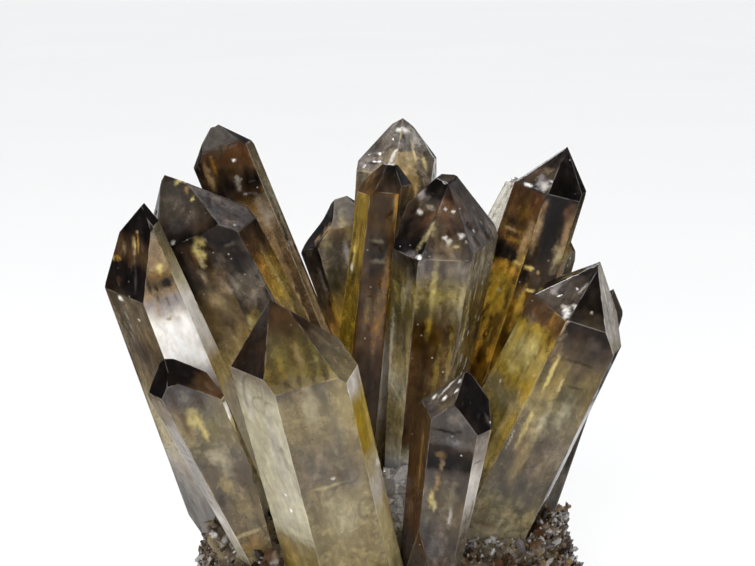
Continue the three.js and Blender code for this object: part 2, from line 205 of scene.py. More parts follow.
# The small white dabs on m5 are painted glints.
crystal("far_left_tall", (-67.5, -12, 128.7), (-18.5, 17), 2, """
body: 0 ink .5, 18 bark .6, 30 smoke .6, 60 moss .6, 110 olive .5
r5: -3 ink .5, 6 ink, 11 umber, 15 ink, 20 ink, 26 bark .5
r1: 2 ink, 8 dusk
m5: 18 bark, 26 smoke, 34 smoke, 44 ash, 54 smoke, 64 fog, 74 fog, 84 ash, 95 dusk
m0: 3 smoke, 9 tan, 13 tan, 16 amber, 19 bronze, 22 tan, 25 lilac .3, 29 pearl .15, 32 white .05,
  45 white .05, 52 lilac .3, 60 olive, 70 haze, 80 sage, 90 milk
m1: 0 smoke, 12 haze, 20 milk .3, 27 white .2, 36 white .2, 44 pearl .25, 48 sage, 53 cream, 58 pearl .3,
  66 white .3
""", """
r5: 9.5 3.2 3.6 1.2 tan 1, 8 5.5 2.6 .7 amber .9, 8.4 3.8 1 .5 straw 1, 10 -2.5 1.8 1 tan .9 .5,
  13.6 -7 1 2.2 amber .9 .5, 12.5 1 2.5 1.5 rust .6 .5, 3 3 3 3 ink .8 .5, 18 -3 3 5 ink .9 .5,
  5 5 .5 .8 tan .9, 17 4 4 .8 slate .7 .5, 20 -6 1.5 1.2 umber .6 .5, 14 -9 1 .6 straw .8
m5: 24.7 -5.8 .9 1.6 white 1 .1, 28 -3 4 2 smoke .5 .5, 27 2 3 2 bark .6 .5, 30 1.5 .4 .7 white .8 .1,
  34 -6 6 1 lilac .5, 60 -3 8 1.2 lilac .5
m0: 19.3 .8 2.1 2.4 ink 1 .3, 19.6 .9 1.5 1.8 ink 1 .3, 20 -2.6 1.6 .5 ink .9 .3, 18.5 -4.4 3.5 .7 bark .9,
  14.6 .2 1.7 1.8 straw .9 .3, 12 -.6 1.2 .8 rust .6, 22.4 -3.4 1.6 .5 umber .8, 24.5 -1 1.8 .4 umber .7,
  24 1.6 1.6 .4 umber .6, 26 -4.4 2.2 .5 tan .7, 30 -2.5 .5 .9 tan .8, 27 4 3 .5 tan .6, 41 5.6 7 .4 bark .8
m1: 20 -5 12 .5 umber .6 .5, 41 -2 9 .4 bark .8 .5, 49 0 4 2 gold .8 .5, 30 2 10 .7 white .6 .3,
  60 -2 8 .4 bark .7 .5
""", mottle=0.22)
crystal("left_broad", (-62.5, 10, 134.5), (-27.5, 4), -11, """
body: 0 ink .5, 20 bark .6, 34 umber .6, 60 olive .6, 110 moss .6
r0: 0 ink .5, 5 dusk, 12 dusk, 16 bark, 19 ink, 24 ink .5
r1: 0 slate
m0: 10 ink, 18 bark, 28 bark, 33 dusk, 38 smoke .45, 44 ash .45, 50 smoke .45, 58 haze .45, 80 haze .5
m1: 16 ink .5, 25 bark .5, 30 umber .5, 34 amber .5, 42 honey .5, 50 haze .5
""", """
r0: 3.3 4 .8 1.8 straw 1 .3, 6.2 5.6 1.6 .8 tan .9, 8 2 4.5 3.2 ash .5 .45, 12 3.5 3 2 ash .6 .5,
  9 6.5 .7 .7 straw .9 .3, 12 -5 5 3 ink .8 .5, 17 -3 .5 .5 white 1 .1, 10 -7 1.2 1.6 rust .6 .5,
  18 1 3 4 ink .8 .5
r1: 20.4 -2.6 .5 .5 white 1 .1, 20 -3 1.6 1.6 smoke .5 .5
m0: 20 4.2 2.2 1.4 straw 1 .3, 23 2.6 2.6 1.3 straw 1 .3, 26 1.8 1.6 .8 cream .8 .3,
  20.4 6.2 .8 .5 cream .9 .3, 24 .6 3 .6 rust .8, 30 .5 3 .9 smoke .7, 22 12 3.6 6 ink .9,
  29 13 4 3.4 ink .95, 27.5 9 .8 4 ink .9, 33 11.5 2 3 ink .8, 27 7.5 1.6 1.2 smoke .7,
  24.6 12 .5 1.8 ash .8, 18 -3 2.5 7 ink .9 .5, 29 -3 5 2.5 dusk .6 .5, 26 -5 5 2 ink .6 .5,
  33 5 3.4 3 tan .45 .45, 36 6 3 3 twilight .5 .5, 39 1 3 1.5 haze .6 .5, 44 2 4 4 slate .45 .5,
  48.5 7.5 1.8 2.2 straw .9, 46 9 3 2 honey .6 .5, 41 -5 6 2 moss .6 .5, 52 4 4 3 olive .5 .5,
  42 10 3 3 smoke .5 .5
m1: 38 1 7 1.3 straw .5 .5, 33 -2 8 .8 rust .7 .6, 41 2.4 6 .8 umber .7 .5, 44 -1 3 1 gold .6 .5,
  30 2.5 5 .8 ink .7 .5
""")
# The small white dab and the two pearl dabs near the top of m0 are a painted glint and a painted reflection.
crystal("back_left_tall", (-48.5, 38, 146.5), (-22, -2), 14, """
body: 0 slate .5, 8 ink .5, 24 umber .6, 34 tan .5, 60 tan .5, 110 umber .6
r0: 0 ash
m0: 4 ash, 8 rust, 11 rust, 14 umber, 20 bark, 24 umber .45, 27 tan, 36 tan, 44 tan .45, 60 tan .45,
  80 haze .5
m5: 8 ink, 20 bark, 40 umber .5
m1: 8 smoke, 18 haze, 24 milk, 32 fog, 40 smoke .45, 90 smoke .5
""", """
m0: 13 -9.4 5.2 .9 tan 1, 11 -7 3.2 .5 amber .9, 10.5 -11 5 .7 ink .9, 8.6 1 1 2.6 rust .9 .5,
  6.5 -3 2.2 2.2 smoke .5 .5, 11.8 -.5 .5 .7 white 1 .1, 17.6 -1.6 1.4 .7 pearl .9 .2,
  19.6 -2.2 1.5 .7 pearl .9 .2, 18.5 -2 3 1.4 ash .7, 17 -5.5 5 2 ink .9, 18.5 3.4 4.4 3 ink .9,
  14 5.5 3 1.6 rust .6 .5, 22.5 -1 .3 .8 pearl .8 .2, 23 4 1.2 .6 amber .6, 30 2.5 4 2.4 pearl .5 .35,
  27 -2.5 3 3 amber .6 .5, 38 0 5 2 rust .4 .5, 48 2 8 1.5 umber .6 .5
m1: 40 0 22 1.2 bark .6, 55 -2 16 .8 pearl .4 .3
""")
crystal("back_dark", (-9.5, 46, 123.5), (-16, -3), 8.5, """
body: 0 slate .5, 8 ink .5, 25 bark .6, 38 amber .6, 80 olive .6
r5: 0 dusk, 5 ink
r0: 6 twilight .35, 10 tan .35
m5: 20 ink, 26 bark, 31 bark, 36 resin .5, 50 gold .5
m0: 2 pearl .35, 9 tan .35, 14 smoke, 18 smoke, 26 moss, 40 honey .5
""", """
r5: 8 .5 1.4 1.2 tan .9, 10.5 -2 1.2 .8 tan .8
r0: 7.5 -4 3 1.5 cream .8
m0: 11 -9 3 1.2 cream .8, 9 -3 4 1.5 straw .5, 14 0 5 .8 ink .9, 17 -5 4 .7 pearl .7 .3, 20 -2 5 1 ink .8
m5: 14.5 -4.7 2 2 slate .5, 24 -3 4 1.2 twilight .5, 33.5 -.5 4 1.4 gold 1, 19 2 3 .8 tan .6
""", swell=2.0)
# The white dabs on the cap are a painted highlight line near the tip and painted reflections lower down.
crystal("centre_back_tall", (7.5, 22, 150), (3.5, -1.5), 23, """
body: 0 smoke .7, 12 haze .7, 24 tan .7, 45 olive .6
r5: 0 twilight .55, 3 pearl .5, 8 twilight .5, 14 lilac .45
r0: 0 twilight .55, 3 pearl .45, 6 pearl .45, 9 twilight .5, 16 smoke .5
r1: 0 smoke .6
m5: 8 twilight, 18 smoke, 26 tan, 34 honey .5, 42 gold .5, 60 olive .6
m0: 24 smoke .5, 45 honey .6, 96 moss .6
m1: 8 slate, 24 smoke, 60 olive .5
""", """
r0: 1.2 0 1.2 2 slate .9 .5
r5: 3.4 1.5 .6 1.8 white 1 .2
r0: 3.4 -.6 .9 1.6 white .9 .2, 4.4 -2.2 1.6 .5 straw .8 .3, 5.4 -1.2 2.2 .6 umber .8 .5
r5: 11.2 3.6 1.9 .9 white 1 .05, 9.8 3.5 1 .5 white 1 .05, 6 -4 2 2 smoke .6 .6, 9 1 3 1.4 smoke .5 .5,
  13 -5 2 4 lilac .6 .5, 13.5 -2 .5 2.5 bark .8
r0: 9 1 4 .5 cream .8, 11 3 3 .5 umber .7 .5, 12.2 3.6 2 .5 straw .7, 13 6 3 .8 bark .6 .5
m5: 40 -6 6 .8 straw .8 .5
""", node="crystal_centre_back_pair")
crystal("centre_back_brown", (4, 6, 140.5), (6, 2), 4, """
body: 0 bark .6, 10 umber .6, 30 moss .6, 60 umber .6, 110 bark .6
m0: 3 ink, 8 tar, 20 tar, 28 bark, 34 tar, 44 resin, 52 resin, 60 tar
r0: 4 ink, 8 bark
r1: 0 ink
r5: 0 ink, 5 bark, 9 umber
m1: 8 amber, 14 dusk, 30 bronze, 38 gold, 46 gold, 54 pearl .3, 62 white .2, 74 pearl .3, 84 haze
m5: 8 olive, 16 honey, 24 olive, 30 honey, 35 olive, 46 gold .5
""", """
m0: 10 -2 4 .8 bark .7, 14 2.6 6 .8 amber .5, 27 -3 3.6 1.4 bark .85, 30 -1 .6 2.5 haze .7,
  33 -3 3.4 1.4 bark .9, 40 -5 7 1.2 bark .8, 38 1.6 12 1.2 amber .7 .6, 24 -2 .5 2.2 haze .6,
  46 -3 5 .8 honey .6, 52 3 7 1 umber .7, 50 0 10 1 amber .5 .5, 68 2 12 1.8 bark .7 .5
m5: 30 -.6 5 .6 straw .9 .3, 33.4 -1 1.2 .6 white .9 .2, 26 1.4 8 .5 bark .7, 44 1 5 .6 bark .6
""", node="crystal_centre_back_pair", mottle=0.3)
# The small white and pearl dabs on the cap are painted glints.
crystal("centre_cloudy", (20.5, -11, 141.5), (6, 11), 9, """
body: 5 ink .5, 16 slate .5, 24 smoke .5, 50 olive .5, 110 umber .6
r5: 9 ink, 12 dusk, 16 bark, 22 ink
r0: 5 ink, 8 bark, 11 rust, 15 slate, 20 ash
r1: 5 ink, 12 bark, 17 slate, 22 ash
m5: 22 ink, 28 dusk, 32 olive, 42 olive, 50 haze, 58 sage, 66 milk, 74 sage, 80 haze, 86 milk, 90 white
m0: 22 slate, 28 ash, 34 olive, 39 moss, 44 tar .45, 50 tar .5, 60 umber .5, 68 umber .5, 76 bark .5,
  82 umber, 86 milk, 90 white
m1: 16 twilight .35, 22 smoke, 30 fog, 38 olive, 50 honey .5
top: 0 dusk
""", """
r5: 8.5 2 1.6 3 ink .8, 11 -3.5 1.2 3 lilac .7 .3, 12.6 3 .6 2 twilight .7 .3, 14.6 .2 .6 1.2 pearl .9 .2,
  20 -2 4 3.5 ink .9, 24 2.5 2.6 3 ink .95, 17 2.5 1.5 1.5 bark .7, 14 5 3 1.5 rust .7,
  19 8 3.6 1 cream .6 .3, 23.8 10.6 .5 1.3 white 1 .1, 20.5 5 2 2 ink .7, 24.5 7 1.2 1.8 lilac .5
r0: 12 -1.4 .4 .4 white 1 .1, 12.6 1 .4 .4 white 1 .1, 15 -1 3 2.4 rust .7, 14 3.6 3 1.6 umber .6,
  9 -.5 1.4 3 ink .8, 16 -5 2.5 1 cream .5 .35, 18.6 -1.6 .7 .7 white 1 .1, 19.6 -.6 .9 .8 pearl .9 .2,
  18 3.2 .6 .8 white .9 .1, 19.6 4.4 .4 .5 pearl .9 .2, 20.6 1.6 .5 .9 cream .9 .3, 17.4 1 1.2 2.4 bark .8,
  21.4 -2 1.4 2.6 bark .5, 22.5 2 1 2 slate .5
r1: 19.5 2.4 2.4 1.6 ink 1, 17 -.4 1.4 1 bark .8, 18 -3.4 .4 .4 white .9 .1, 12 -3 4 2 rust .6,
  17.6 3.6 .4 .4 pearl .9 .2, 9 0 3 1 ink .7
m5: 30 -6 4 3 ink .7, 34 7.5 6 1.6 twilight .6 .35, 38 5.4 5 1.2 cream .6 .35, 33.5 3 .5 2 bark .8,
  46 4 9 .6 slate .5 .5, 52 7 12 .6 smoke .5 .5, 56 1.5 14 .6 pearl .5 .3
m0: 27 4 3.4 1.8 twilight .6 .35, 27 -3 3 2 slate .5, 33 -4 7 1 straw .6, 36 4.5 6 .8 cream .6,
  41 0 5 2.6 bark .7 .45, 39 -2.5 2.4 .8 moss .7 .5, 45 -4 4 .8 gold .5 .5, 52 3.4 10 .8 honey .6 .5,
  56 -4 10 .8 bark .7 .5, 60 0 9 .7 honey .4 .5
m1: 26 -9 8 1.2 bark .9, 25 -2 5 2 milk .6 .35, 44 -7 9 1.6 straw .7, 36 -3 4 .5 cream .8 .3,
  48 -3 9 1 bronze .7 .5
""")
crystal("right_back", (57, 26, 141), (17, 3), 18, """
body: 0 ink .5, 14 bark .6, 24 umber .6, 36 amber .6, 110 gold .6
r5: 0 ink, 6 bark, 10 umber, 12 bark, 15 ink
r0: 0 ink
r1: 0 ink
m5: 10 bark, 17 rust, 21 rust, 25 umber, 29 umber, 32 ink, 36 ink, 39 amber .45, 44 honey .45,
  54 bronze .45, 60 bronze .45, 68 resin .45, 76 ink .45
m0: 22 ink, 32 bark, 40 bark, 46 tar, 54 resin, 64 resin, 72 tar
m1: 8 ink, 16 umber, 24 honey, 60 bronze .5
""", """
r5: 11.8 2.4 1.6 2 lilac 1 .15, 12.2 3.4 1.3 1.4 pearl 1 .15, 10.2 4.6 .35 1.4 white .9 .1,
  11.2 6.2 .35 1.2 white .9 .1, 13.6 -1.4 .45 1.5 white 1 .1, 8 .5 .9 1.6 tan .6, 5 0 3 2 ink .8,
  10.4 .2 .9 1.4 lilac .6 .3
m5: 21 .6 3 2 amber .5, 25.6 -2.4 1 1.8 ink .9, 27.6 -1.8 .6 2.6 tan .9 .35, 29.5 1 1 2.4 bark .8,
  30.5 -1 .8 2.5 amber .8, 34.5 0 1.8 4 ink .9, 30 4.4 8 1.3 tan 1 .3, 35 5.4 2.6 .9 honey .9 .3,
  36.5 4 .8 1.5 straw .8 .3, 47 1 7 2.6 gold .8, 46 .8 .5 1.2 cream .8 .3, 40 5 3 1 bark .8,
  50 4.6 8 .8 bronze .7
m0: 25 -6.2 7 1.4 tan 1 .3, 19 -5.8 3 .8 umber .8, 25 4 8 2 tan .95 .3, 24 1.4 9 .8 bark .8,
  32 3 4 1.6 cream .8 .3, 18.5 2.4 3.5 1.6 rust .8 .35, 27 -1.6 9 1.6 ink .9, 22 7.4 4 .7 bronze .7,
  40 -6 2.4 2 ink .9, 41 -3.8 2.6 1 bark .8, 43.2 -2 .5 1.6 straw 1 .2, 36.5 -4.6 .6 1.6 straw .9 .3,
  37.5 -1.5 .4 .7 tan .9 .3, 50 -4 7 1 honey .7, 52 -1 8 .7 bark .7, 33 .6 .3 .4 tan .9 .2
m1: 22 -3 4 .6 bark .8, 28 0 4 1.4 cream .6
""", node="crystal_right_back_group")
crystal("right_back_clear_blade", (43.5, 31, 132), (27, 3), 18, """
body: 30 white .5, 60 pearl .5
""", node="crystal_right_back_group", mottle=0.08)
crystal("right_back_bud", (58.5, 34, 112.5), (16, -6), 7, """
body: 0 bark .5, 10 umber .5
r0: 0 bark, 3 tan .3, 8 cream .3
m0: 4 cream .3, 10 tan, 20 umber
m1: 0 smoke, 5 fog, 12 bark
""", """
m1: 6.3 -1.7 .5 .5 white 1 .1, 8.5 -2.4 .4 .4 white 1 .1, 3 -1 1 1 ink .8
""", node="crystal_right_back_group")
# The white and pearl dabs high on r5 are painted reflections and glints.
crystal("right_large", (62, -18, 112.5), (23.5, 13), 15, """
body: 0 ink .5, 14 bark .5, 24 amber .6, 50 olive .5, 110 smoke .5
r4: 0 ink
r5: 4 ink, 8 slate, 12 ash, 18 slate
r0: 10 ink, 18 dusk
r1: 16 pearl .3, 22 milk
m1: 10 ink, 30 bark, 60 dusk .5, 90 smoke .5
m5: 10 bark, 16 umber, 20 rust, 23 gold, 30 straw, 38 gold, 44 haze, 50 honey, 58 olive, 66 haze, 95 haze .5
m0: 14 ink, 19 bark, 24 dusk, 28 moss, 34 olive, 44 haze, 52 smoke, 68 smoke, 76 haze, 95 fog
""", """
r5: 8 -1 2.5 2 slate .6, 12.6 4.3 1.2 1.2 white 1 .1, 11 5.2 .5 1.2 pearl 1 .1, 13.8 5.4 .9 .8 white 1 .1,
  12.6 2.6 .6 .8 pearl .8 .2, 9 -4 3 1.2 lilac .7 .35, 6.5 2.5 1.6 .4 pearl .7 .2, 11 3.4 1 .7 ink .8,
  11.5 -3 .6 2 lilac .6 .3, 13.5 -1 .8 2.5 dusk .6
r0: 16 0 3 3 slate .5 .5, 11 1 .3 .4 pearl .8 .2
r1: 12 0 6 .5 smoke .6, 8 1 3 .5 white .7 .2
m5: 18 -3 2.5 2 rust .8, 17 2.5 3 1.2 amber .7, 22 -4 2 1.6 tan .7, 22 4.6 4 1 rust .8,
  28 -6 6 .9 gold .9 .3, 28 .6 5 1.8 straw .6 .35, 27 3.6 6 1 bronze .7, 36 -2 2.2 2 straw .6,
  38 3 6 .9 bronze .6, 45 0 5 1 moss .6, 50 4 8 .9 fog .5, 42 -4 .4 .4 white .8 .1
m0: 14 -5.6 1.2 .8 pearl .8 .2, 17 -6 2.4 .6 tan .9 .3, 25.6 3 .5 5 bark .9, 20 5 2 4 slate .6 .5,
  29 5 2.6 2 rust .45 .45, 33.2 5.4 .5 4 bark .8, 24 -5 5 1.4 tan .7, 31 -3.2 6 .7 straw .95 .3,
  34 1.2 3.4 .5 cream .6 .3, 37 4.4 2 2 moss .6 .45, 41 6 5 2 milk .6 .35, 49 -3 7 .8 straw .7 .35,
  46 1 6 1.4 milk .6, 48 -6.5 1.2 1.8 smoke .6 .45, 66 7 9 3 smoke .6 .5, 54 -5.5 4 .25 pearl .6 .2,
  58 5 5 2 slate .6 .5, 66 -2 4 3.5 smoke .5, 73 2 1.5 6 haze .5, 82 -1 1.2 5 rust .6 .45
""", mottle=0.26)
crystal("right_edge_dark", (70.5, 16, 99.5), (16.5, 2), 24, """
body: 20 ink, 50 bark .5, 80 smoke .5
r0: 0 slate, 10 smoke
""")
crystal("small_left_front", (-57.5, -39, 90.5), (-21, 17.5), 0, """
body: 0 ink .5, 12 bark .5, 20 smoke .5, 50 moss .5, 80 umber .6
r5: 0 ink
r0: 0 ink
r1: 7 ink, 11 umber, 14 rust
m5: 6 smoke .35, 14 twilight .25, 48 smoke .25, 56 pearl .25, 70 milk .3
m0: 4 dusk, 9 slate, 12 ash, 15 smoke, 20 haze, 28 haze, 34 smoke, 60 smoke, 72 haze
m1: 10 rust, 14 cream .3, 20 white .25, 26 sage, 32 smoke, 60 umber
""", """
m0: 18 0 3.2 2 straw .8 .35, 23 1.2 4 1.1 straw .9 .35, 14 -3 6 1.2 umber .6, 20 -2.6 5 .9 rust .5,
  14 3.6 4 1 umber .8, 10 .5 2.4 1.8 twilight .6, 24 4 4 1.4 olive .6, 32 1.5 3.6 2.6 milk .6 .35,
  36 3 4 2 fog .5 .35, 33 -4 7 1.2 slate .6 .45, 46 -3.5 4 1.8 slate .9 .45, 42 0 4 2 sage .6,
  40 4.6 6 1 umber .7 .45, 52 2 5 2 sage .4, 60 -1 .8 4 cream .6 .3, 65 0 3 3 amber .5 .45
m1: 20 .4 3 1.2 white .9 .1, 16.5 1 .6 1.2 bark .9, 14 -1 1.4 .8 amber .8, 24 1.4 2 .6 straw .8 .3,
  36 0 12 .9 umber .6 .45
""", mottle=0.2)
# The small white dabs on the cap are painted glints.
crystal("small_right_front", (24.5, -47, 88.5), (7, 17), -13, """
body: 0 ink .5, 12 bark .5, 20 smoke .5, 50 smoke .5, 80 slate .5
r5: 0 bark, 5 ash, 9 smoke .35, 12 ash
r0: 0 ink
r1: 0 ink
m5: 8 bark, 20 umber, 40 umber, 50 rust, 60 slate, 70 dusk
m0: 6 ink, 9 slate, 14 slate, 19 ash, 21 bark, 24 ink, 27.5 ink, 30 slate, 38 smoke, 44 smoke, 52 slate,
  60 ash, 80 smoke
m1: 6 ink .35, 12 ink .3, 16 slate .3, 22 twilight .3, 30 pearl .25, 37 pearl .25, 44 twilight .35, 50 smoke
""", """
r5: 7.6 1.4 .7 .7 white 1 .05, 9.6 -2.4 .8 .6 white 1 .05, 4.6 3.2 .8 .5 white .9 .1, 3 1 .6 .6 pearl .9 .2,
  6 -1 3 .4 pearl .8 .2, 9 2.4 1 .8 dusk .7
r1: 12 1.5 1.2 .6 ash .8 .3, 13 2.2 .3 .3 white .9 .1
r0: 8 0 4 2 ink .7
m0: 12 .5 2.2 3 twilight .5 .35, 15.6 -2.2 .45 3.4 ink 1 .3, 14.8 1.2 .5 1.4 bark .9 .35,
  18.5 1 1.5 3.5 lilac .5, 20.4 -1 .4 4 bark .8, 24.8 2.2 1.4 2.4 ink 1 .3, 23.2 -2.4 1.2 1.2 amber .7,
  26.5 -2 2 .7 tan .7, 32 -2.6 3 1 tan .8 .35, 30 3 4 1.8 slate .6, 38 -3.4 3.4 .8 straw .9 .35,
  40.5 -2.2 2 .5 cream .8 .3, 36 2 5 1.6 fog .5 .35, 43 2.4 3 .5 pearl .7 .3, 52 0 8 2.5 lilac .4
m5: 30 -1.4 10 .7 amber .7, 24 1.4 12 .6 bark .7, 38 -3 6 .6 rust .7
m1: 16 1.6 9 .6 amber .8, 30 1.8 8 .6 tan .7 .35, 24 -1.6 .3 1.6 bark .8, 40 0 4 .5 umber .8,
  46 -1.4 6 .4 bark .7
""", mottle=0.22)

# ------------------------------------------------------------------ faces of a crystal

TOP_RISE = 0.95  # cosine to the axis from which a face is a blunt top
CAP_RISE = 0.25  # and from which it belongs to the cap
SLANT_COST = 40  # how much worse a slanting prism face fits


def unit(vector):
    vector = np.asarray(vector, float)
    return vector / np.linalg.norm(vector)


def axes_of(spec):
    """The crystal's long axis (pointing out of the tip), its forward and its right direction."""
    right, front = (math.tan(math.radians(a)) for a in spec["lean"])
    axis = unit((right, -front, 1))
    forward = np.array((0.0, -1.0, 0.0))
    forward = unit(forward - axis * (forward @ axis))
    return axis, forward, np.cross(axis, forward)


def label_of(spec, normal):
    """A face's name, and how badly it fits this crystal: mostly how many degrees it is turned off."""
    axis, forward, side = axes_of(spec)
    rise = normal @ axis
    turn = (math.degrees(math.atan2(normal @ side, normal @ forward)) - spec["spin"]) / 60
    number = round(turn) % 6
    off = abs(turn - round(turn)) * 60
    if rise > TOP_RISE:
        return "top", 0.0
    if rise < -CAP_RISE:
        return "foot", 10.0
    if rise > CAP_RISE:
        return f"r{number}", off
    return f"m{number}", off + abs(rise) * SLANT_COST


def place_on(spec, label, points):
    """Millimetres down from the tip, and to the right as seen from outside, of points on a face."""
    axis, forward, side = axes_of(spec)
    turn = math.radians(spec["spin"] + 60 * int(label[1])) if label[1:].isdigit() else 0.0
    tangent = -math.sin(turn) * forward + math.cos(turn) * side
    away = points - spec["tip"]
    return -(away @ axis), away @ tangent


def owner_of(members, normal, centre):
    """Which of a node's crystals a face belongs to: 5 degrees count as much as 10 mm from the axis."""
    scores = []
    for spec in members:
        axis = axes_of(spec)[0]
        away = centre - spec["tip"]
        radius = np.linalg.norm(away - axis * (away @ axis))
        scores.append(label_of(spec, normal)[1] / 5 + radius / 10)
    return members[int(np.argmin(scores))]


# ------------------------------------------------------------------ painting

DRAWN_OUT = 0.6  # taken off places along the crystal before noise, which draws clouds out lengthwise
WIDE_WOBBLE, FINE_WOBBLE = 2.2, 1.3  # how far the stops' borders wander
STRAND_FROM = 0.7  # dabs whose smaller half is above this are broken into strands
CLOUD_GAIN, FLECK_GAIN = 4.2, 1.8
DARKEST, BRIGHTEST = 0.2, 3.2  # how much clouds and flecks change a colour at most
WARMTH = np.array((0.2, 0.0, -0.4))  # dark places turn warmer or cooler by this
THREAD_SHADE = 0.35  # how dark the winding threads are
LUMINANCE = np.array((0.25, 0.65, 0.10))
FOOT_PAINTED_LIGHT = 0.5  # how much paler crystals are painted towards their foot: painted light, standing in for light that does not reach down between them
CLEAR_GAIN, CLEAR_MOST = 1.55, 0.93
CLEAR_LEAST = 0.12  # the share of its clearness that a black place keeps


def stops_at(stops, along):
    """Colour and clearness at these distances down from the tip."""
    table = np.array(stops)
    return np.stack([np.interp(along, table[:, 0], table[:, c]) for c in range(1, 5)], axis=1)


def dab_cover(measures, along, across, points, drawn, seed):
    """How far a dab covers each point: an oval with a wandering, ragged edge."""
    down, right, half_long, half_wide, strength = measures
    size = min(half_long, half_wide)
    bend = 0.8 * min(size, 2.5)
    slide = bend * fbm(points / (1.2 * size + 0.8), 3, seed)
    sway = bend * fbm(points / (1.2 * size + 0.8), 3, seed + 11)
    reach = np.hypot((along + slide - down) / half_long, (across + sway - right) / half_wide)
    ragged = 0.6 if max(half_long, half_wide) < 4 * size else 0.3
    reach += ragged * fbm(points / (0.35 * size + 0.4), 4, seed + 3)
    edge = min(0.3 + 0.2 * size, 0.6)
    cover = strength * smooth(0.9 + edge, 0.9 - edge, reach)
    if size > STRAND_FROM:
        cover = cover * (0.6 + 0.4 * smooth(-0.5, 0.1, fbm(drawn / (0.25 * size + 0.35), 3, seed + 7)))
    return cover


def paint(spec, label, along, across, points, seed):
    """Colour and clearness of points on a face."""
    axis = axes_of(spec)[0]
    drawn = points - DRAWN_OUT * (points @ axis)[:, None] * axis
    wobble = WIDE_WOBBLE * fbm(points / 7, 3, seed) + FINE_WOBBLE * fbm(points / 2.0, 4, seed + 5)
    tint = stops_at(spec["faces"].get(label, spec["faces"]["body"]), along + wobble)
    for number, (face, measures, colour) in enumerate(spec["dabs"]):
        if face == label:
            cover = dab_cover(measures, along, across, points, drawn, seed + 31 * number)[:, None]
            tint = tint * (1 - cover) + colour * cover
    cloud = 0.9 * fbm(drawn / 5.5, 4, seed + 71) + 0.35 * fbm(points / 2.6, 4, seed + 75)
    fleck = fbm(drawn / 1.3, 2, seed + 72)
    contrast = spec["mottle"] * (0.5 + 0.9 * smooth(0.30, 0.06, tint[:, :3].mean(1)))
    shade = np.exp(contrast * (CLOUD_GAIN * cloud + FLECK_GAIN * fleck))
    tint[:, :3] *= np.clip(shade, DARKEST, BRIGHTEST)[:, None]
    warmth = fbm(drawn / 6, 3, seed + 76) * smooth(0.35, 0.10, tint[:, 1])
    tint[:, :3] *= np.exp(warmth[:, None] * WARMTH)
    thread = smooth(0.90, 0.985, 1 - np.abs(noise(points / 6, seed + 73)))
    thread *= smooth(0.0, 0.4, noise(points / 9, seed + 74))
    tint[:, :3] *= 1 - THREAD_SHADE * thread[:, None]
    shine = tint[:, :3] @ LUMINANCE
    # Painted light: paler towards the foot, standing in for light that does not reach down between the
    # crystals.
    tint[:, :3] *= (1 + FOOT_PAINTED_LIGHT * smooth(35, 95, along))[:, None]
    kept = CLEAR_LEAST + (1 - CLEAR_LEAST) * smooth(0.006, 0.09, shine)
    tint[:, 3] = np.minimum(CLEAR_GAIN * tint[:, 3], CLEAR_MOST) * kept
    return np.clip(tint, 0, 1)


# ------------------------------------------------------------------ crystal meshes

FRONT_SIDE = 0.15  # faces whose normal has less than this of +Y count as turned to the front
GRID_SEEN = 0.52  # mesh step on those faces
GRID_REST = 1.05
JITTER = 0.2  # of a step
BAND = 0.26  # width of the worn strip along each edge
WEAR = 0.07  # how far an edge is worn back
CHIP = 0.34  # how deep chips go
BACK_SIDE = 0.1  # faces whose normal has more than this of +Y are painted paler, a painted light that lets more of the light from behind through them
# Painted light: how much paler the faces turned to the back are painted.
BACKLIGHT_PAINTED_GAIN = 1.7
LINES, RIPPLES, SWELLS = 0.025, 0.035, 0.07  # relief of the prism, of the cap and of both
STEPS, STEP_RISE = 6, 0.03  # growth terraces
CAP_PIT, OTHER_PIT = 0.25, 0.12  # how deep pits go
RELIEF_DROP, RELIEF_MOST = 0.02, 0.12  # keeps a face at or near its solid
RELIEF_RIM = 2.2  # relief is full from this far inside the edges


def edge_distance(points, corners):
    """Distance of each 2D point to each edge of a polygon, as (points, edges)."""
    span = np.roll(corners, -1, axis=0) - corners
    away = points[:, None, :] - corners[None]
    share = np.clip((away * span).sum(2) / np.maximum((span * span).sum(1), 1e-12), 0, 1)
    return np.linalg.norm(away - share[..., None] * span, axis=2)


def inside(points, corners):
    """Even-odd test of 2D points against a polygon."""
    hit = np.zeros(len(points), bool)
    for a, b in zip(corners, np.roll(corners, -1, axis=0)):
        crosses = (a[1] > points[:, 1]) != (b[1] > points[:, 1])
        rise = b[1] - a[1] if abs(b[1] - a[1]) > 1e-12 else 1e-12
        hit ^= crosses & (points[:, 0] < (b[0] - a[0]) * (points[:, 1] - a[1]) / rise + a[0])
    return hit


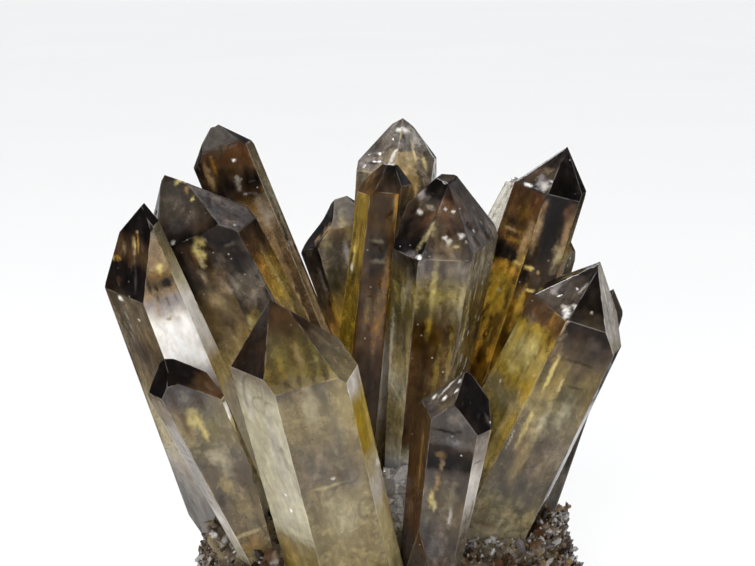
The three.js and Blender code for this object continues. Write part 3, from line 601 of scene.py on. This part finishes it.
def fill_face(corners, rim, step, seed):
    """Triangulates a flat face: rim points in order, a strip along each edge and a jittered grid inside."""
    span = np.roll(corners, -1, axis=0) - corners
    lengths = np.linalg.norm(span, axis=1)
    inward = np.stack([-span[:, 1], span[:, 0]], 1) / lengths[:, None]
    strip = []
    for start, edge, normal, length in zip(corners, span, inward, lengths):
        count = max(1, round(length / step))
        for k in range(count + 1):
            share = min(max(k / count, BAND / length), 1 - BAND / length)
            strip.append(start + edge * share + normal * BAND)
    strip = np.array(strip)
    strip = strip[inside(strip, corners)]
    strip = strip[edge_distance(strip, corners).min(1) > 0.93 * BAND]
    low, high = corners.min(0), corners.max(0)
    rows = np.arange(low[1], high[1] + step, step * 0.866)
    columns = np.arange(low[0], high[0] + step, step)
    grid = np.array([(x + (i % 2) * step / 2, y) for i, y in enumerate(rows) for x in columns])
    grid = grid + np.random.default_rng(seed).uniform(-JITTER, JITTER, grid.shape) * step
    grid = grid[inside(grid, corners)]
    if len(grid):
        grid = grid[edge_distance(grid, corners).min(1) > BAND + 0.5 * step]
    points = np.concatenate([rim, strip, grid])
    made = delaunay_2d_cdt([Vector(p) for p in points], [], [list(range(len(rim)))], 1, 1e-5)
    return np.array([tuple(v) for v in made[0]]), [tuple(f) for f in made[2]], made[3]


def flattened(points, origin, across_axis, up_axis):
    """Points in a face's plane as 2D places."""
    return np.stack([(points - origin) @ across_axis, (points - origin) @ up_axis], 1)


def whole_faces(node):
    """The CAD node with the triangles of each flat face joined again."""
    flat = bmesh.new()
    flat.from_mesh(frame["nodes"][node].data)
    bmesh.ops.remove_doubles(flat, verts=flat.verts, dist=1e-5)
    bmesh.ops.dissolve_limit(flat, angle_limit=math.radians(0.5), verts=flat.verts, edges=flat.edges)
    flat.verts.index_update()
    flat.faces.index_update()
    flat.normal_update()
    return flat


def rims_of(flat, corner_at):
    """Points along every edge, which its faces share, and the direction in which wear pulls each point."""
    vertices = list(corner_at)
    pull = {}
    for v in flat.verts:
        pull[v.index] = -unit(sum((np.array(f.normal) for f in v.link_faces), np.zeros(3)) + 1e-9)
    rim_of = {}
    for e in flat.edges:
        a, b = (v.index for v in e.verts)
        seen = min((f.normal.y for f in e.link_faces), default=0) < FRONT_SIDE
        step = GRID_SEEN if seen else GRID_REST
        count = max(1, round(np.linalg.norm(corner_at[b] - corner_at[a]) / step))
        ids = []
        for k in range(1, count):
            ids.append(len(vertices))
            vertices.append(corner_at[a] + (corner_at[b] - corner_at[a]) * k / count)
            pull[ids[-1]] = -unit(sum((np.array(f.normal) for f in e.link_faces), np.zeros(3)))
        rim_of[(a, b)] = ids
        rim_of[(b, a)] = ids[::-1]
        if len(e.link_faces) == 2 and not e.is_convex:
            for i in (a, b, *ids):
                pull[i] = np.zeros(3)
    return vertices, pull, rim_of


def relief_of(label, number, along, across, solid, seed):
    """How far each point of a face stands out: striations, swells, terraces and pits."""
    rows = np.stack([along * 0.75, across * 0.06, np.full(len(along), float(number))], 1)
    relief = LINES * fbm(rows, 2, seed) if label[0] == "m" else RIPPLES * fbm(solid / 2.2, 3, seed)
    relief = relief + SWELLS * fbm(solid / 8, 2, seed + 3)
    terrace = fbm(solid / 5, 3, seed + 4) * STEPS
    relief = relief + STEP_RISE * (np.floor(terrace) + smooth(0.7, 1.0, terrace - np.floor(terrace))) / 2
    pit = smooth(0.45, 0.75, noise(solid / 1.9, seed + 6)) * (CAP_PIT if label[0] == "r" else OTHER_PIT)
    return np.minimum(relief - pit - RELIEF_DROP, RELIEF_MOST)


def wear_down(vertices, pull, seed):
    """Edges worn back a little, with deeper chips here and there."""
    moved = np.array(sorted(pull))
    chips = smooth(0.30, 0.75, noise(vertices[moved] / 1.7, seed + 11))
    chips *= smooth(-0.2, 0.4, noise(vertices[moved] / 9, seed + 12))
    vertices[moved] += np.array([pull[i] for i in moved]) * (WEAR + CHIP * chips)[:, None]
    return vertices


def swelling(spec, vertices):
    """How far the left side of a crystal stands out past its solid, which closes a gap beside it."""
    axis = axes_of(spec)[0]
    offset = vertices - spec["tip"]
    left = (offset @ axis) * axis[0] - offset[:, 0]
    return spec["swell"] * smooth(2, 8, left) * smooth(4, 12, -(offset @ axis))


def mark_edges(mesh, owners):
    """Keeps the CAD model's edges sharp: owners gives each triangle the number of its CAD face."""
    loop_edge = np.empty(len(mesh.loops), np.int32)
    mesh.loops.foreach_get("edge_index", loop_edge)
    loop_owner = np.repeat(owners, 3)
    top = np.full(len(mesh.edges), -1)
    low = np.full(len(mesh.edges), len(owners))
    np.maximum.at(top, loop_edge, loop_owner)
    np.minimum.at(low, loop_edge, loop_owner)
    sharp = mesh.attributes.new("sharp_edge", "BOOLEAN", "EDGE")
    sharp.data.foreach_set("value", top != low)


def add_layer(mesh, name, domain, values):
    """A colour attribute where a row has four numbers, and a vector attribute where it has three."""
    kind, key = ("FLOAT_COLOR", "color") if values.shape[1] == 4 else ("FLOAT_VECTOR", "vector")
    layer = mesh.attributes.new(name, kind, domain)
    layer.data.foreach_set(key, values.astype(np.float32).ravel())


def placed(name, data):
    """A new object in the scene."""
    piece = bpy.data.objects.new(name, data)
    bpy.context.scene.collection.objects.link(piece)
    return piece


def crystal_mesh(name, node, members, material):
    """The CAD node's flat faces again, with a fine mesh, worn edges painted paler (partly wear, partly a
    painted highlight), growth relief and painted colour.
    """
    flat = whole_faces(node)
    corner_at = np.array([tuple(v.co) for v in flat.verts]) / MM
    vertices, pull, rim_of = rims_of(flat, corner_at)
    seed = seed_of(name)
    triangles, tints, grains, owners = [], [], [], []
    for number, face in enumerate(flat.faces):
        normal = np.array(face.normal)
        ring = [v.index for v in face.verts]
        rim_ids = []
        for a, b in zip(ring, ring[1:] + ring[:1]):
            rim_ids += [a, *rim_of[(a, b)]]
        origin = corner_at[ring[0]]
        across_axis = unit(corner_at[ring[1]] - origin)
        up_axis = np.cross(normal, across_axis)
        corners = flattened(corner_at[ring], origin, across_axis, up_axis)
        rim = flattened(np.array([vertices[i] for i in rim_ids]), origin, across_axis, up_axis)
        step = GRID_SEEN if normal[1] < FRONT_SIDE else GRID_REST
        points, faces, sources = fill_face(corners, rim, step, seed + number)
        ids = []
        fresh = []
        for k, source in enumerate(sources):
            on_rim = [s for s in source if s < len(rim_ids)]
            if on_rim:
                ids.append(rim_ids[on_rim[0]])
            else:
                ids.append(len(vertices) + len(fresh))
                fresh.append(k)
        solid = origin + points[:, :1] * across_axis + points[:, 1:] * up_axis
        spec = owner_of(members, normal, corner_at[ring].mean(0))
        label = label_of(spec, normal)[0]
        along, across = place_on(spec, label, solid)
        face_seed = seed + 7 * number
        tint = paint(spec, label, along, across, solid, face_seed)
        # Painted light: faces turned to the back are painted paler, so more of the light from behind comes
        # through the crystal.
        if normal[1] > BACK_SIDE:
            tint[:, :3] *= BACKLIGHT_PAINTED_GAIN
        distance = edge_distance(points, corners).min(1)
        # Painted paler along the edges: partly worn chips, partly a painted highlight standing in for the
        # bright lines that the edges catch.
        worn = (distance < 0.5 * BAND) * smooth(-0.35, 0.35, noise(solid / 2.5, seed + 9))
        tint[:, :3] += (0.35 * COLOURS["pearl"] + 0.45 * tint[:, :3]) * (0.55 * worn)[:, None]
        relief = relief_of(label, number, along, across, solid, face_seed)
        relief *= smooth(BAND, RELIEF_RIM, distance)
        solid = solid + relief[:, None] * normal
        vertices += [solid[k] for k in fresh]
        grain = np.stack([along, across, np.full(len(along), 37.0 * number)], 1)
        for face_ids in faces:
            triangles.append([ids[k] for k in face_ids])
            tints.append(tint[list(face_ids)])
            grains.append(grain[list(face_ids)])
            owners.append(number)
    flat.free()
    vertices = wear_down(np.array(vertices), pull, seed)
    for spec in members:
        if spec["swell"]:
            vertices[:, 0] -= swelling(spec, vertices)
    mesh = bpy.data.meshes.new(name)
    mesh.from_pydata((vertices * MM).tolist(), [], triangles)
    mesh.polygons.foreach_set("use_smooth", np.ones(len(mesh.polygons), bool))
    mark_edges(mesh, np.array(owners))
    add_layer(mesh, "tint", "CORNER", np.concatenate(tints))
    add_layer(mesh, "grain", "CORNER", np.concatenate(grains))
    mesh.materials.append(material)
    piece = placed(name, mesh)
    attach(piece, "root")
    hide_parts(node)
    return piece


# ------------------------------------------------------------------ materials

QUARTZ_IOR = 1.544
FACE_GLOSS = 0.10  # low, because the pale studio would veil the dark faces


class Nodes:
    """Short forms for building the node tree of a material, or of the world."""

    def __init__(self, owner, shader="Principled BSDF"):
        owner.use_nodes = True
        self.owner = owner
        self.tree = owner.node_tree
        self.shader = self.tree.nodes[shader]

    def set(self, socket, value):
        """Links a socket to another one, or sets its number or colour."""
        if isinstance(value, bpy.types.NodeSocket):
            self.tree.links.new(value, socket)
        else:
            socket.default_value = value

    def into(self, name, value):
        """Links or sets an input of the shader."""
        self.set(self.shader.inputs[name], value)

    def node(self, kind, values, output, **settings):
        """A new node with its settings and inputs; gives one of its outputs."""
        node = self.tree.nodes.new("ShaderNode" + kind)
        for key, value in settings.items():
            setattr(node, key, value)
        for key, value in values.items():
            self.set(node.inputs[key], value)
        return node.outputs[output]

    def attribute(self, name, output):
        return self.node("Attribute", {}, output, attribute_name=name)

    def place(self, output="Object"):
        return self.node("TexCoord", {}, output)

    def noise(self, vector, scale, detail=4.0, roughness=0.6, distortion=0.0):
        values = {"Vector": vector, "Scale": scale, "Detail": detail, "Roughness": roughness}
        return self.node("TexNoise", {**values, "Distortion": distortion}, "Fac")

    def scaled(self, vector, factors):
        return self.node("VectorMath", {0: vector, 1: factors}, "Vector", operation="MULTIPLY")

    def span(self, value, low, high, to_low, to_high, **settings):
        """Maps the range from low to high onto the range from to_low to to_high."""
        values = {"Value": value, "From Min": low, "From Max": high, "To Min": to_low, "To Max": to_high}
        return self.node("MapRange", values, "Result", **settings)

    def math(self, operation, a, b):
        return self.node("Math", {0: a, 1: b}, "Value", operation=operation)

    def mix(self, factor, a, b):
        values = {"Factor": factor, "A": a, "B": b}
        return self.node("Mix", values, "Result", data_type="RGBA", clamp_result=True)

    def bump(self, height, strength, distance, **normal):
        values = {"Height": height, "Strength": strength, "Distance": distance}
        return self.node("Bump", {**values, **normal}, "Normal")


def quartz(name, absorption, density):
    """See-through quartz: painted tint and clearness, growth lines, flaws, pale specks that are partly dust
    and partly painted glints, and smoky volume absorption.
    """
    n = Nodes(bpy.data.materials.new(name))
    tint, clear = (n.attribute("tint", output) for output in ("Color", "Alpha"))
    grain = n.attribute("grain", "Vector")
    place = n.place()
    cloud = n.noise(place, 230, 6, 0.52, 1.2)
    lines = n.noise(n.scaled(grain, (2.2, 0.10, 1.0)), 1.0, 5, 0.7)
    streak = n.noise(n.scaled(grain, (0.14, 0.5, 1.0)), 1.0, 4, 0.5, 1.0)
    shade = n.span(n.math("MULTIPLY", cloud, n.math("MULTIPLY", streak, 2.0)), 0.32, 0.70, 0.62, 1.32)
    speck = n.span(n.noise(place, 2600, 3), 0.35, 0.7, 0.92, 1.10)
    varied = n.math("SUBTRACT", n.math("MULTIPLY", shade, speck), 1.0)
    amount = n.span(clear, 0.50, 0.85, 0.30, 1.0)
    factor = n.math("ADD", n.math("MULTIPLY", varied, amount), 1.0)
    tone = n.node("VectorMath", {0: tint, "Scale": factor}, "Vector", operation="SCALE")
    # Tiny pale spots mixed towards pearl: partly dust, partly painted glints.
    spots = n.span(n.node("TexVoronoi", {"Vector": place, "Scale": 330}, "Distance"), 0.05, 0.11, 0.75, 0.0)
    dust_and_glints = n.math("MULTIPLY", spots, n.span(n.noise(place, 190, 2), 0.52, 0.62, 0.0, 1.0))
    flaw = n.span(n.noise(place, 420, 5, 0.6, 0.8), 0.50, 0.72, 1.0, 0.60)
    n.into("Base Color", n.mix(dust_and_glints, tone, (*COLOURS["pearl"], 1)))
    n.into("Transmission Weight", n.math("MULTIPLY", clear, flaw))
    n.into("Roughness", n.span(n.noise(place, 260, 5), 0.35, 0.72, 0.02, 0.22))
    n.into("Normal", n.bump(cloud, 0.15, 0.00010, Normal=n.bump(lines, 0.16, 0.00012)))
    n.into("IOR", QUARTZ_IOR)
    n.into("Specular IOR Level", FACE_GLOSS)
    volume = n.node("VolumeAbsorption", {"Color": (*absorption, 1), "Density": density}, "Volume")
    n.set(n.tree.nodes["Material Output"].inputs["Volume"], volume)
    return n.owner


def rock_material():
    """Rough dark rock with its painted colour showing in the grit."""
    n = Nodes(bpy.data.materials.new("matrix_stone"))
    blotch = n.noise(n.place(), 180, 8, 0.65)
    grit = n.noise(n.place(), 1500, 4, 0.7)
    bark, umber = tones("bark umber")
    dark = n.mix(n.span(blotch, 0.35, 0.65, 0, 1), (*(0.5 * bark), 1), (*umber, 1))
    n.into("Base Color", n.mix(n.span(grit, 0.35, 0.75, 0.25, 0.9), dark, n.attribute("tint", "Color")))
    n.into("Roughness", n.span(grit, 0.3, 0.7, 0.35, 0.8))
    n.into("Normal", n.bump(grit, 0.6, 0.0004, Normal=n.bump(blotch, 0.5, 0.001)))
    return n.owner


def flake_material():
    """Flakes inside the crystals, in their painted colour with paler spots."""
    n = Nodes(bpy.data.materials.new("inclusion_flakes"))
    pale = n.span(n.noise(n.place(), 2200, 3), 0.4, 0.7, 0, 0.5)
    n.into("Base Color", n.mix(pale, n.attribute("tint", "Color"), (0.9, 0.88, 0.85, 1)))
    n.into("Roughness", 0.25)
    return n.owner


def druse_material():
    """Small quartz points, milky and stained with dirt."""
    n = Nodes(bpy.data.materials.new("druse_points"))
    grime = n.noise(n.place(), 700, 6, 0.7)
    dirt = n.span(grime, 0.42, 0.66, 0, 0.75)
    n.into("Base Color", n.mix(dirt, n.attribute("tint", "Color"), (*COLOURS["bark"], 1)))
    n.into("Transmission Weight", n.span(grime, 0.35, 0.65, 0.60, 0.15))
    n.into("Roughness", n.span(n.noise(n.place(), 1400, 3), 0.3, 0.7, 0.06, 0.30))
    n.into("IOR", QUARTZ_IOR)
    return n.owner


# ------------------------------------------------------------------ the dressed crystals

PALE, GOLDEN, DARK = (
    (name, quartz(name, absorption, density))
    for name, absorption, density in (
        ("smoky_quartz_pale", (0.82, 0.78, 0.58), 35),
        ("smoky_quartz_golden", (0.85, 0.76, 0.32), 45),
        ("smoky_quartz_dark", (0.70, 0.61, 0.42), 60),
    )
)
PALE_VEILS = tones("white cream pearl straw")
GOLD_VEILS = tones("straw gold amber white bark")
DARK_VEILS = tones("tan amber straw bark pearl")
# node: slot and material, how many veils, flakes in each, their colours, how far below the tip they lie
FINISH = {
    "crystal_front_left_large": (*PALE, 9, 90, PALE_VEILS, (18, 85)),
    "crystal_far_left_tall": (*DARK, 9, 80, DARK_VEILS, (8, 80)),
    "crystal_left_broad": (*DARK, 11, 90, DARK_VEILS, (6, 75)),
    "crystal_back_left_tall": (*DARK, 8, 80, DARK_VEILS, (6, 70)),
    "crystal_back_dark": (*DARK, 6, 70, DARK_VEILS, (6, 50)),
    "crystal_centre_back_pair": (*GOLDEN, 10, 90, GOLD_VEILS, (5, 80)),
    "crystal_centre_cloudy": (*PALE, 11, 90, GOLD_VEILS, (10, 90)),
    "crystal_right_back_group": (*GOLDEN, 10, 90, GOLD_VEILS, (6, 80)),
    "crystal_right_large": (*GOLDEN, 11, 90, GOLD_VEILS, (8, 85)),
    "crystal_right_edge_dark": (*DARK, 4, 60, DARK_VEILS, (6, 60)),
    "crystal_small_left_front": (*PALE, 7, 70, PALE_VEILS, (8, 60)),
    "crystal_small_right_front": (*PALE, 7, 70, DARK_VEILS, (6, 60)),
}
for node_name, (slot_name, finish, *_) in FINISH.items():
    members = [spec for spec in CRYSTALS.values() if spec["node"] == node_name]
    crystal_mesh(node_name + "_quartz", node_name, members, finish)

# ------------------------------------------------------------------ inclusions

FLAKE_DEPTH = 0.7  # how far inside the crystal every flake stays
FLAKE_LEAST, FLAKE_MEAN, FLAKE_MOST = 0.16, 0.20, 0.62  # sizes of flakes


def tree_of(node):
    """A search tree of the CAD node's surface, in metres."""
    solid = bmesh.new()
    solid.from_mesh(frame["nodes"][node].data)
    tree = BVHTree.FromBMesh(solid)
    solid.free()
    return tree


def flake(rng, place, facing, size, colour, into):
    """One thin irregular flake of four to six corners, two-sided, added to the lists in into."""
    vertices, faces, colours = into
    count = int(rng.integers(4, 7))
    across = unit(np.cross(facing, rng.normal(size=3)))
    up = np.cross(facing, across)
    first = len(vertices)
    stretch = rng.uniform(0.35, 1.0)
    for k in range(count):
        turn = 2 * math.pi * (k + rng.uniform(-0.25, 0.25)) / count
        reach = size * rng.uniform(0.6, 1.0)
        vertices.append(place + reach * (math.cos(turn) * across + stretch * math.sin(turn) * up))
    faces.append(list(range(first, first + count)))
    colours.append((*colour, 1.0))


def veils(node, count, flakes, palette, span):
    """Wispy sheets of flakes inside a crystal: healed cracks, bubbles and specks."""
    tree = tree_of(node)
    spec = next(s for s in CRYSTALS.values() if s["node"] == node)
    axis, forward = axes_of(spec)[:2]
    rng = np.random.default_rng(seed_of(node))
    into = ([], [], [])
    for _ in range(count):
        middle = spec["tip"] - axis * rng.uniform(*span) + rng.normal(size=3) * 3.5
        normal = unit(rng.normal(size=3) + 0.9 * forward)
        first = unit(np.cross(normal, axis + 0.4 * rng.normal(size=3)))
        second = np.cross(normal, first)
        wide, long = rng.uniform(3, 8), rng.uniform(5, 14)
        colour = palette[int(rng.integers(len(palette)))]
        number = int(flakes * rng.uniform(0.5, 1.3))
        spots = rng.normal(size=(number, 2)) * 0.5
        waves = 2.0 * fbm(np.column_stack([spots * 2.2, np.full(number, rng.uniform(0, 90))]), 2, 3)
        for (u, v), wave in zip(spots, waves):
            place = middle + u * wide * first + v * long * second + wave * normal
            near, outward, _, gap = tree.find_nearest(Vector(place * MM))
            if gap < FLAKE_DEPTH * MM or (Vector(place * MM) - near).dot(outward) > 0:
                continue
            facing = unit(normal + 0.5 * rng.normal(size=3))
            size = min(FLAKE_LEAST + rng.exponential(FLAKE_MEAN), FLAKE_MOST)
            flake(rng, place, facing, size, colour * rng.uniform(0.6, 1.15), into)
    return into


def loose_piece(name, vertices, faces, colours, material):
    """A joined mesh whose faces each have one colour."""
    mesh = bpy.data.meshes.new(name)
    mesh.from_pydata((np.array(vertices) * MM).tolist(), [], faces)
    add_layer(mesh, "tint", "CORNER", np.repeat(np.array(colours), [len(f) for f in faces], axis=0))
    mesh.materials.append(material)
    return placed(name, mesh)


FLAKES = flake_material()
for node_name, (*_, count, flakes, palette, span) in FINISH.items():
    made = veils(node_name, count, flakes, palette, span)
    piece = loose_piece(node_name + "_inclusions", *made, FLAKES)
    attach(piece, "root")

# ------------------------------------------------------------------ matrix and druse

ROCK_VOXEL = 0.82
ROCK_LUMPS, ROCK_RIDGES, ROCK_DROP = 0.7, 0.8, 0.45  # how far the rock's surface is moved
SEAT = (0.6, 3.0)  # the rock is smooth below the first height and rough from the second
DRUSE_SEED = 41
DRUSE_TRIES = 20000  # places where a point may grow
DRUSE_LOWEST = 3.5  # no points grow below this height
OVERHANG = -0.5  # nor where the rock's normal points further down than this
SCATTER, UPRIGHT = 0.45, 0.35  # how far points lean off the rock's normal, at random and upwards
POINT_LEAST, POINT_MEAN, POINT_MOST = 0.24, 0.24, 1.3  # radius of the points
BURIED = 0.3  # a point that comes this near to a big crystal is left out
SNOW_WIDER, SNOW_LONGER = 2.0, 1.5  # points in the milky patch


def points_of(mesh, what="co"):
    """Places or normals of a mesh's vertices, in metres."""
    values = np.empty(len(mesh.vertices) * 3, np.float32)
    mesh.vertices.foreach_get(what, values)
    return values.reshape(-1, 3).astype(float)


def snow_at(points):
    """How white the matrix is: a milky patch grows between the two front crystals."""
    x, y, z = points.T
    rise = z + 0.274 * y
    side = smooth(5.5, 2.5, np.abs(x - 2.2))
    return side * smooth(26, 34, rise) * smooth(54, 49, rise) * smooth(20, 10, y)


def matrix_rock():
    """The CAD matrix with an even fine mesh, roughened and painted; its sawn foot stays flat."""
    source = frame["nodes"]["matrix_druse"].data.copy()
    source.materials.clear()
    piece = placed("matrix_rock", source)
    remesh = piece.modifiers.new("voxels", "REMESH")
    remesh.mode = "VOXEL"
    remesh.voxel_size = ROCK_VOXEL * MM
    graph = bpy.context.evaluated_depsgraph_get()
    mesh = bpy.data.meshes.new_from_object(piece.evaluated_get(graph))
    piece.modifiers.clear()
    piece.data = mesh
    points = points_of(mesh) / MM
    bumps = ROCK_LUMPS * fbm(points / 4, 3, 5) + ROCK_RIDGES * np.abs(fbm(points / 1.8, 2, 6)) - ROCK_DROP
    lift = smooth(*SEAT, points[:, 2])
    points = points + (bumps * lift)[:, None] * points_of(mesh, "normal")
    points[:, 2] = np.maximum(points[:, 2], 0)
    mesh.vertices.foreach_set("co", (points * MM).astype(np.float32).ravel())
    haze, rust, smoke, pearl, white = tones("haze rust smoke pearl white")
    tone = fbm(points / 9, 3, 8)[:, None]
    sparkle = 0.7 * smooth(0.1, 0.5, fbm(points / 2.2, 3, 9))[:, None]
    snow = snow_at(points)[:, None]
    colour = np.where(tone > 0.1, haze, np.where(tone < -0.2, rust, smoke))
    colour = colour * (1 - sparkle) + sparkle * pearl
    colour = colour * (1 - snow) + snow * white
    add_layer(mesh, "tint", "POINT", np.concatenate([colour, np.ones((len(points), 1))], 1))
    mesh.polygons.foreach_set("use_smooth", np.ones(len(mesh.polygons), bool))
    mesh.update()
    mesh.materials.append(rock_material())
    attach(piece, "root")
    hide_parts("matrix_druse")
    return piece


def little_point(rng, place, direction, radius, length, colour, into):
    """One small six-sided quartz point, closed at the foot, added to the lists in into."""
    vertices, faces, colours = into
    across = unit(np.cross(direction, rng.normal(size=3)))
    up = np.cross(direction, across)
    first = len(vertices)
    shoulder = length - radius * rng.uniform(1.0, 1.5)
    widths = rng.uniform(0.8, 1.15, 6)
    lean = rng.uniform(-0.35, 0.35, 2) * radius
    for height, share in ((-radius, 0.9), (max(shoulder, 0.2 * radius), 1.0)):
        for k in range(6):
            turn = math.pi * k / 3
            ring = radius * share * widths[k]
            out = ring * (math.cos(turn) * across + math.sin(turn) * up)
            vertices.append(place + direction * height + out)
    vertices.append(place + direction * length + lean[0] * across + lean[1] * up)
    for k in range(6):
        a, b = first + k, first + (k + 1) % 6
        faces.append([a, b, b + 6, a + 6])
        faces.append([a + 6, b + 6, first + 12])
    faces.append([first + k for k in range(5, -1, -1)])
    colours += [(*np.clip(colour * rng.uniform(0.75, 1.15), 0, 1), 1.0)] * 13


def nearest_crystal(trees, top):
    """How far a place is from the big crystals, or None where it is in or at one."""
    nearest = 99.0
    for tree in trees:
        near, outward, _, gap = tree.find_nearest(top)
        nearest = min(nearest, gap / MM)
        if (top - near).dot(outward) < 0 or gap < BURIED * MM:
            return None
    return nearest


def druse(rock, count):
    """Thousands of small points grown over the matrix, paler near the big crystals."""
    snowy = tones("white pearl")
    bright = tones("pearl lilac white white smoke")
    dull = tones("umber rust bark smoke ash tan")
    rng = np.random.default_rng(DRUSE_SEED)
    mesh = rock.data
    mesh.calc_loop_triangles()
    areas = np.array([t.area for t in mesh.loop_triangles])
    picks = rng.choice(len(areas), size=count, p=areas / areas.sum())
    trees = [tree_of(node) for node in FINISH]
    into = ([], [], [])
    corner_at = points_of(mesh)
    for pick in picks:
        triangle = mesh.loop_triangles[int(pick)]
        shares = rng.dirichlet((1, 1, 1))
        place = shares @ corner_at[list(triangle.vertices)] / MM
        normal = np.array(triangle.normal)
        if place[2] < DRUSE_LOWEST or normal[2] < OVERHANG:
            continue
        direction = unit(normal + SCATTER * rng.normal(size=3) + np.array((0, 0, UPRIGHT)))
        radius = min(POINT_LEAST + rng.exponential(POINT_MEAN), POINT_MOST)
        length = radius * rng.uniform(1.6, 3.6)
        nearest = nearest_crystal(trees, Vector((place + direction * length) * MM))
        if nearest is None:
            continue
        pale = smooth(14, 2, nearest) * 0.3 + 0.4 + 0.6 * float(noise(np.array([place / 9]), 21)[0])
        roll = rng.uniform()
        if rng.uniform() < float(snow_at(place[None])[0]):
            palette = snowy
            radius, length = SNOW_WIDER * radius, SNOW_LONGER * length
        else:
            palette = bright if roll < pale else dull
        colour = palette[int(rng.integers(len(palette)))]
        little_point(rng, place, direction, radius, length, colour, into)
    return into


ROCK = matrix_rock()
druse_piece = loose_piece("druse_points", *druse(ROCK, DRUSE_TRIES), druse_material())
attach(druse_piece, "root")

# ------------------------------------------------------------------ studio, in metres


def floor():
    """A wide pale table under the cluster."""
    bpy.ops.mesh.primitive_plane_add(size=60)
    piece = bpy.context.object
    piece.name = "studio_floor"
    n = Nodes(bpy.data.materials.new("studio_floor"))
    n.into("Base Color", n.mix(n.noise(n.place(), 3, 2), (0.90, 0.90, 0.90, 1), (0.93, 0.93, 0.93, 1)))
    n.into("Roughness", 0.9)
    n.into("Specular IOR Level", 0.1)
    piece.data.materials.append(n.owner)


def world():
    """A dim room, a soft ceiling light straight above and a white backdrop low behind the object."""
    n = Nodes(bpy.data.worlds.new("studio"), "Background")
    room = 0.13

    def ramp(axis, *span):
        height = n.node("SeparateXYZ", {0: n.place("Generated")}, axis)
        return n.span(height, *span, interpolation_type="SMOOTHSTEP")

    ceiling = ramp("Z", 0.90, 0.96, 0.0, 1.1)
    backdrop = n.math("MULTIPLY", ramp("Z", 0.12, 0.42, 0.85, 0.0), ramp("Y", -0.2, 0.5, 0.0, 1.0))
    n.into("Strength", n.math("ADD", n.math("ADD", ceiling, backdrop), room))
    n.into("Color", (0.96, 0.97, 1.0, 1))
    bpy.context.scene.world = n.owner


def aimed(piece, place, target):
    """Puts a lamp, card or camera at a place, facing (with its -Z) the target."""
    piece.location = place
    piece.rotation_mode = "QUATERNION"
    piece.rotation_quaternion = (Vector(target) - Vector(place)).to_track_quat("-Z", "Y")
    return piece


def softbox(name, place, target, size, watts):
    """A soft rectangular lamp."""
    data = bpy.data.lights.new(name, "AREA")
    data.shape = "RECTANGLE"
    data.size, data.size_y = size
    data.energy = watts
    return aimed(placed(name, data), place, target)


def flag(name, place, target, size, bent=False):
    """A black card met only by reflections and, where bent is true, by the light in the crystals."""
    bpy.ops.mesh.primitive_plane_add(size=1)
    piece = aimed(bpy.context.object, place, target)
    piece.name = name
    piece.scale = (*size, 1)
    n = Nodes(bpy.data.materials.new(name))
    n.into("Base Color", (0.01, 0.01, 0.01, 1))
    n.into("Roughness", 0.9)
    piece.data.materials.append(n.owner)
    piece.visible_camera = False
    piece.visible_diffuse = False
    piece.visible_shadow = False
    piece.visible_transmission = bent


floor()
world()
flag("black_card_left", (-0.42, 0.16, 0.10), (0, 0.02, 0.10), (0.42, 0.20), bent=True)
flag("black_card_right", (0.40, 0.30, 0.10), (0, 0.02, 0.10), (0.24, 0.20), bent=True)
flag("black_card_table_left", (-0.26, 0.12, 0.004), (-0.26, 0.12, 1.0), (0.27, 0.42))
flag("black_card_front", (0, -0.75, 0.20), (0, 0, 0.20), (2.0, 0.22))
flag("black_card_table_back", (0.20, 0.45, 0.004), (0.20, 0.45, 1.0), (0.40, 0.50))
flag("black_card_back_right", (0.30, 0.60, 0.14), (0.05, 0.02, 0.12), (0.30, 0.30))
softbox("key_overhead_left", (-0.36, -0.03, 0.84), (0, 0, 0.10), (0.17, 0.17), 0.12)
for fill in (
    softbox("fill_front_left", (-0.45, -1.0, 0.60), (0, 0, 0.08), (0.8, 0.8), 6),
    softbox("fill_front_low", (-0.05, -1.3, 0.30), (0, 0, 0.06), (0.7, 0.5), 6),
    softbox("fill_front_right", (0.75, -0.8, 0.35), (0, 0, 0.06), (0.6, 0.6), 2.5),
):
    fill.visible_glossy = False
    fill.visible_transmission = False
daylight = bpy.data.lights.new("daylight", "SUN")
daylight.energy = 2.45
daylight.angle = math.radians(20)
aimed(placed("daylight", daylight), (-0.32, 0.38, 0.87), (0, 0, 0))

TARGET = (-0.003, -0.0045, 0.104)
camera_data = bpy.data.cameras.new("photo_view")
camera_data.lens = 100
camera_data.sensor_width = 36
camera_data.clip_start, camera_data.clip_end = 0.01, 200
camera = aimed(placed("photo_view", camera_data), (-0.003, -0.6052, 0.2099), TARGET)
bpy.context.scene.camera = camera

scene = bpy.context.scene
scene.view_settings.view_transform = "Standard"
scene.cycles.max_bounces = 14
scene.cycles.transmission_bounces = 12
scene.cycles.diffuse_bounces = 3
scene.cycles.glossy_bounces = 6
scene.cycles.transparent_max_bounces = 12
scene.cycles.sample_clamp_indirect = 6
scene.cycles.use_denoising = True

bpy.context.view_layer.update()
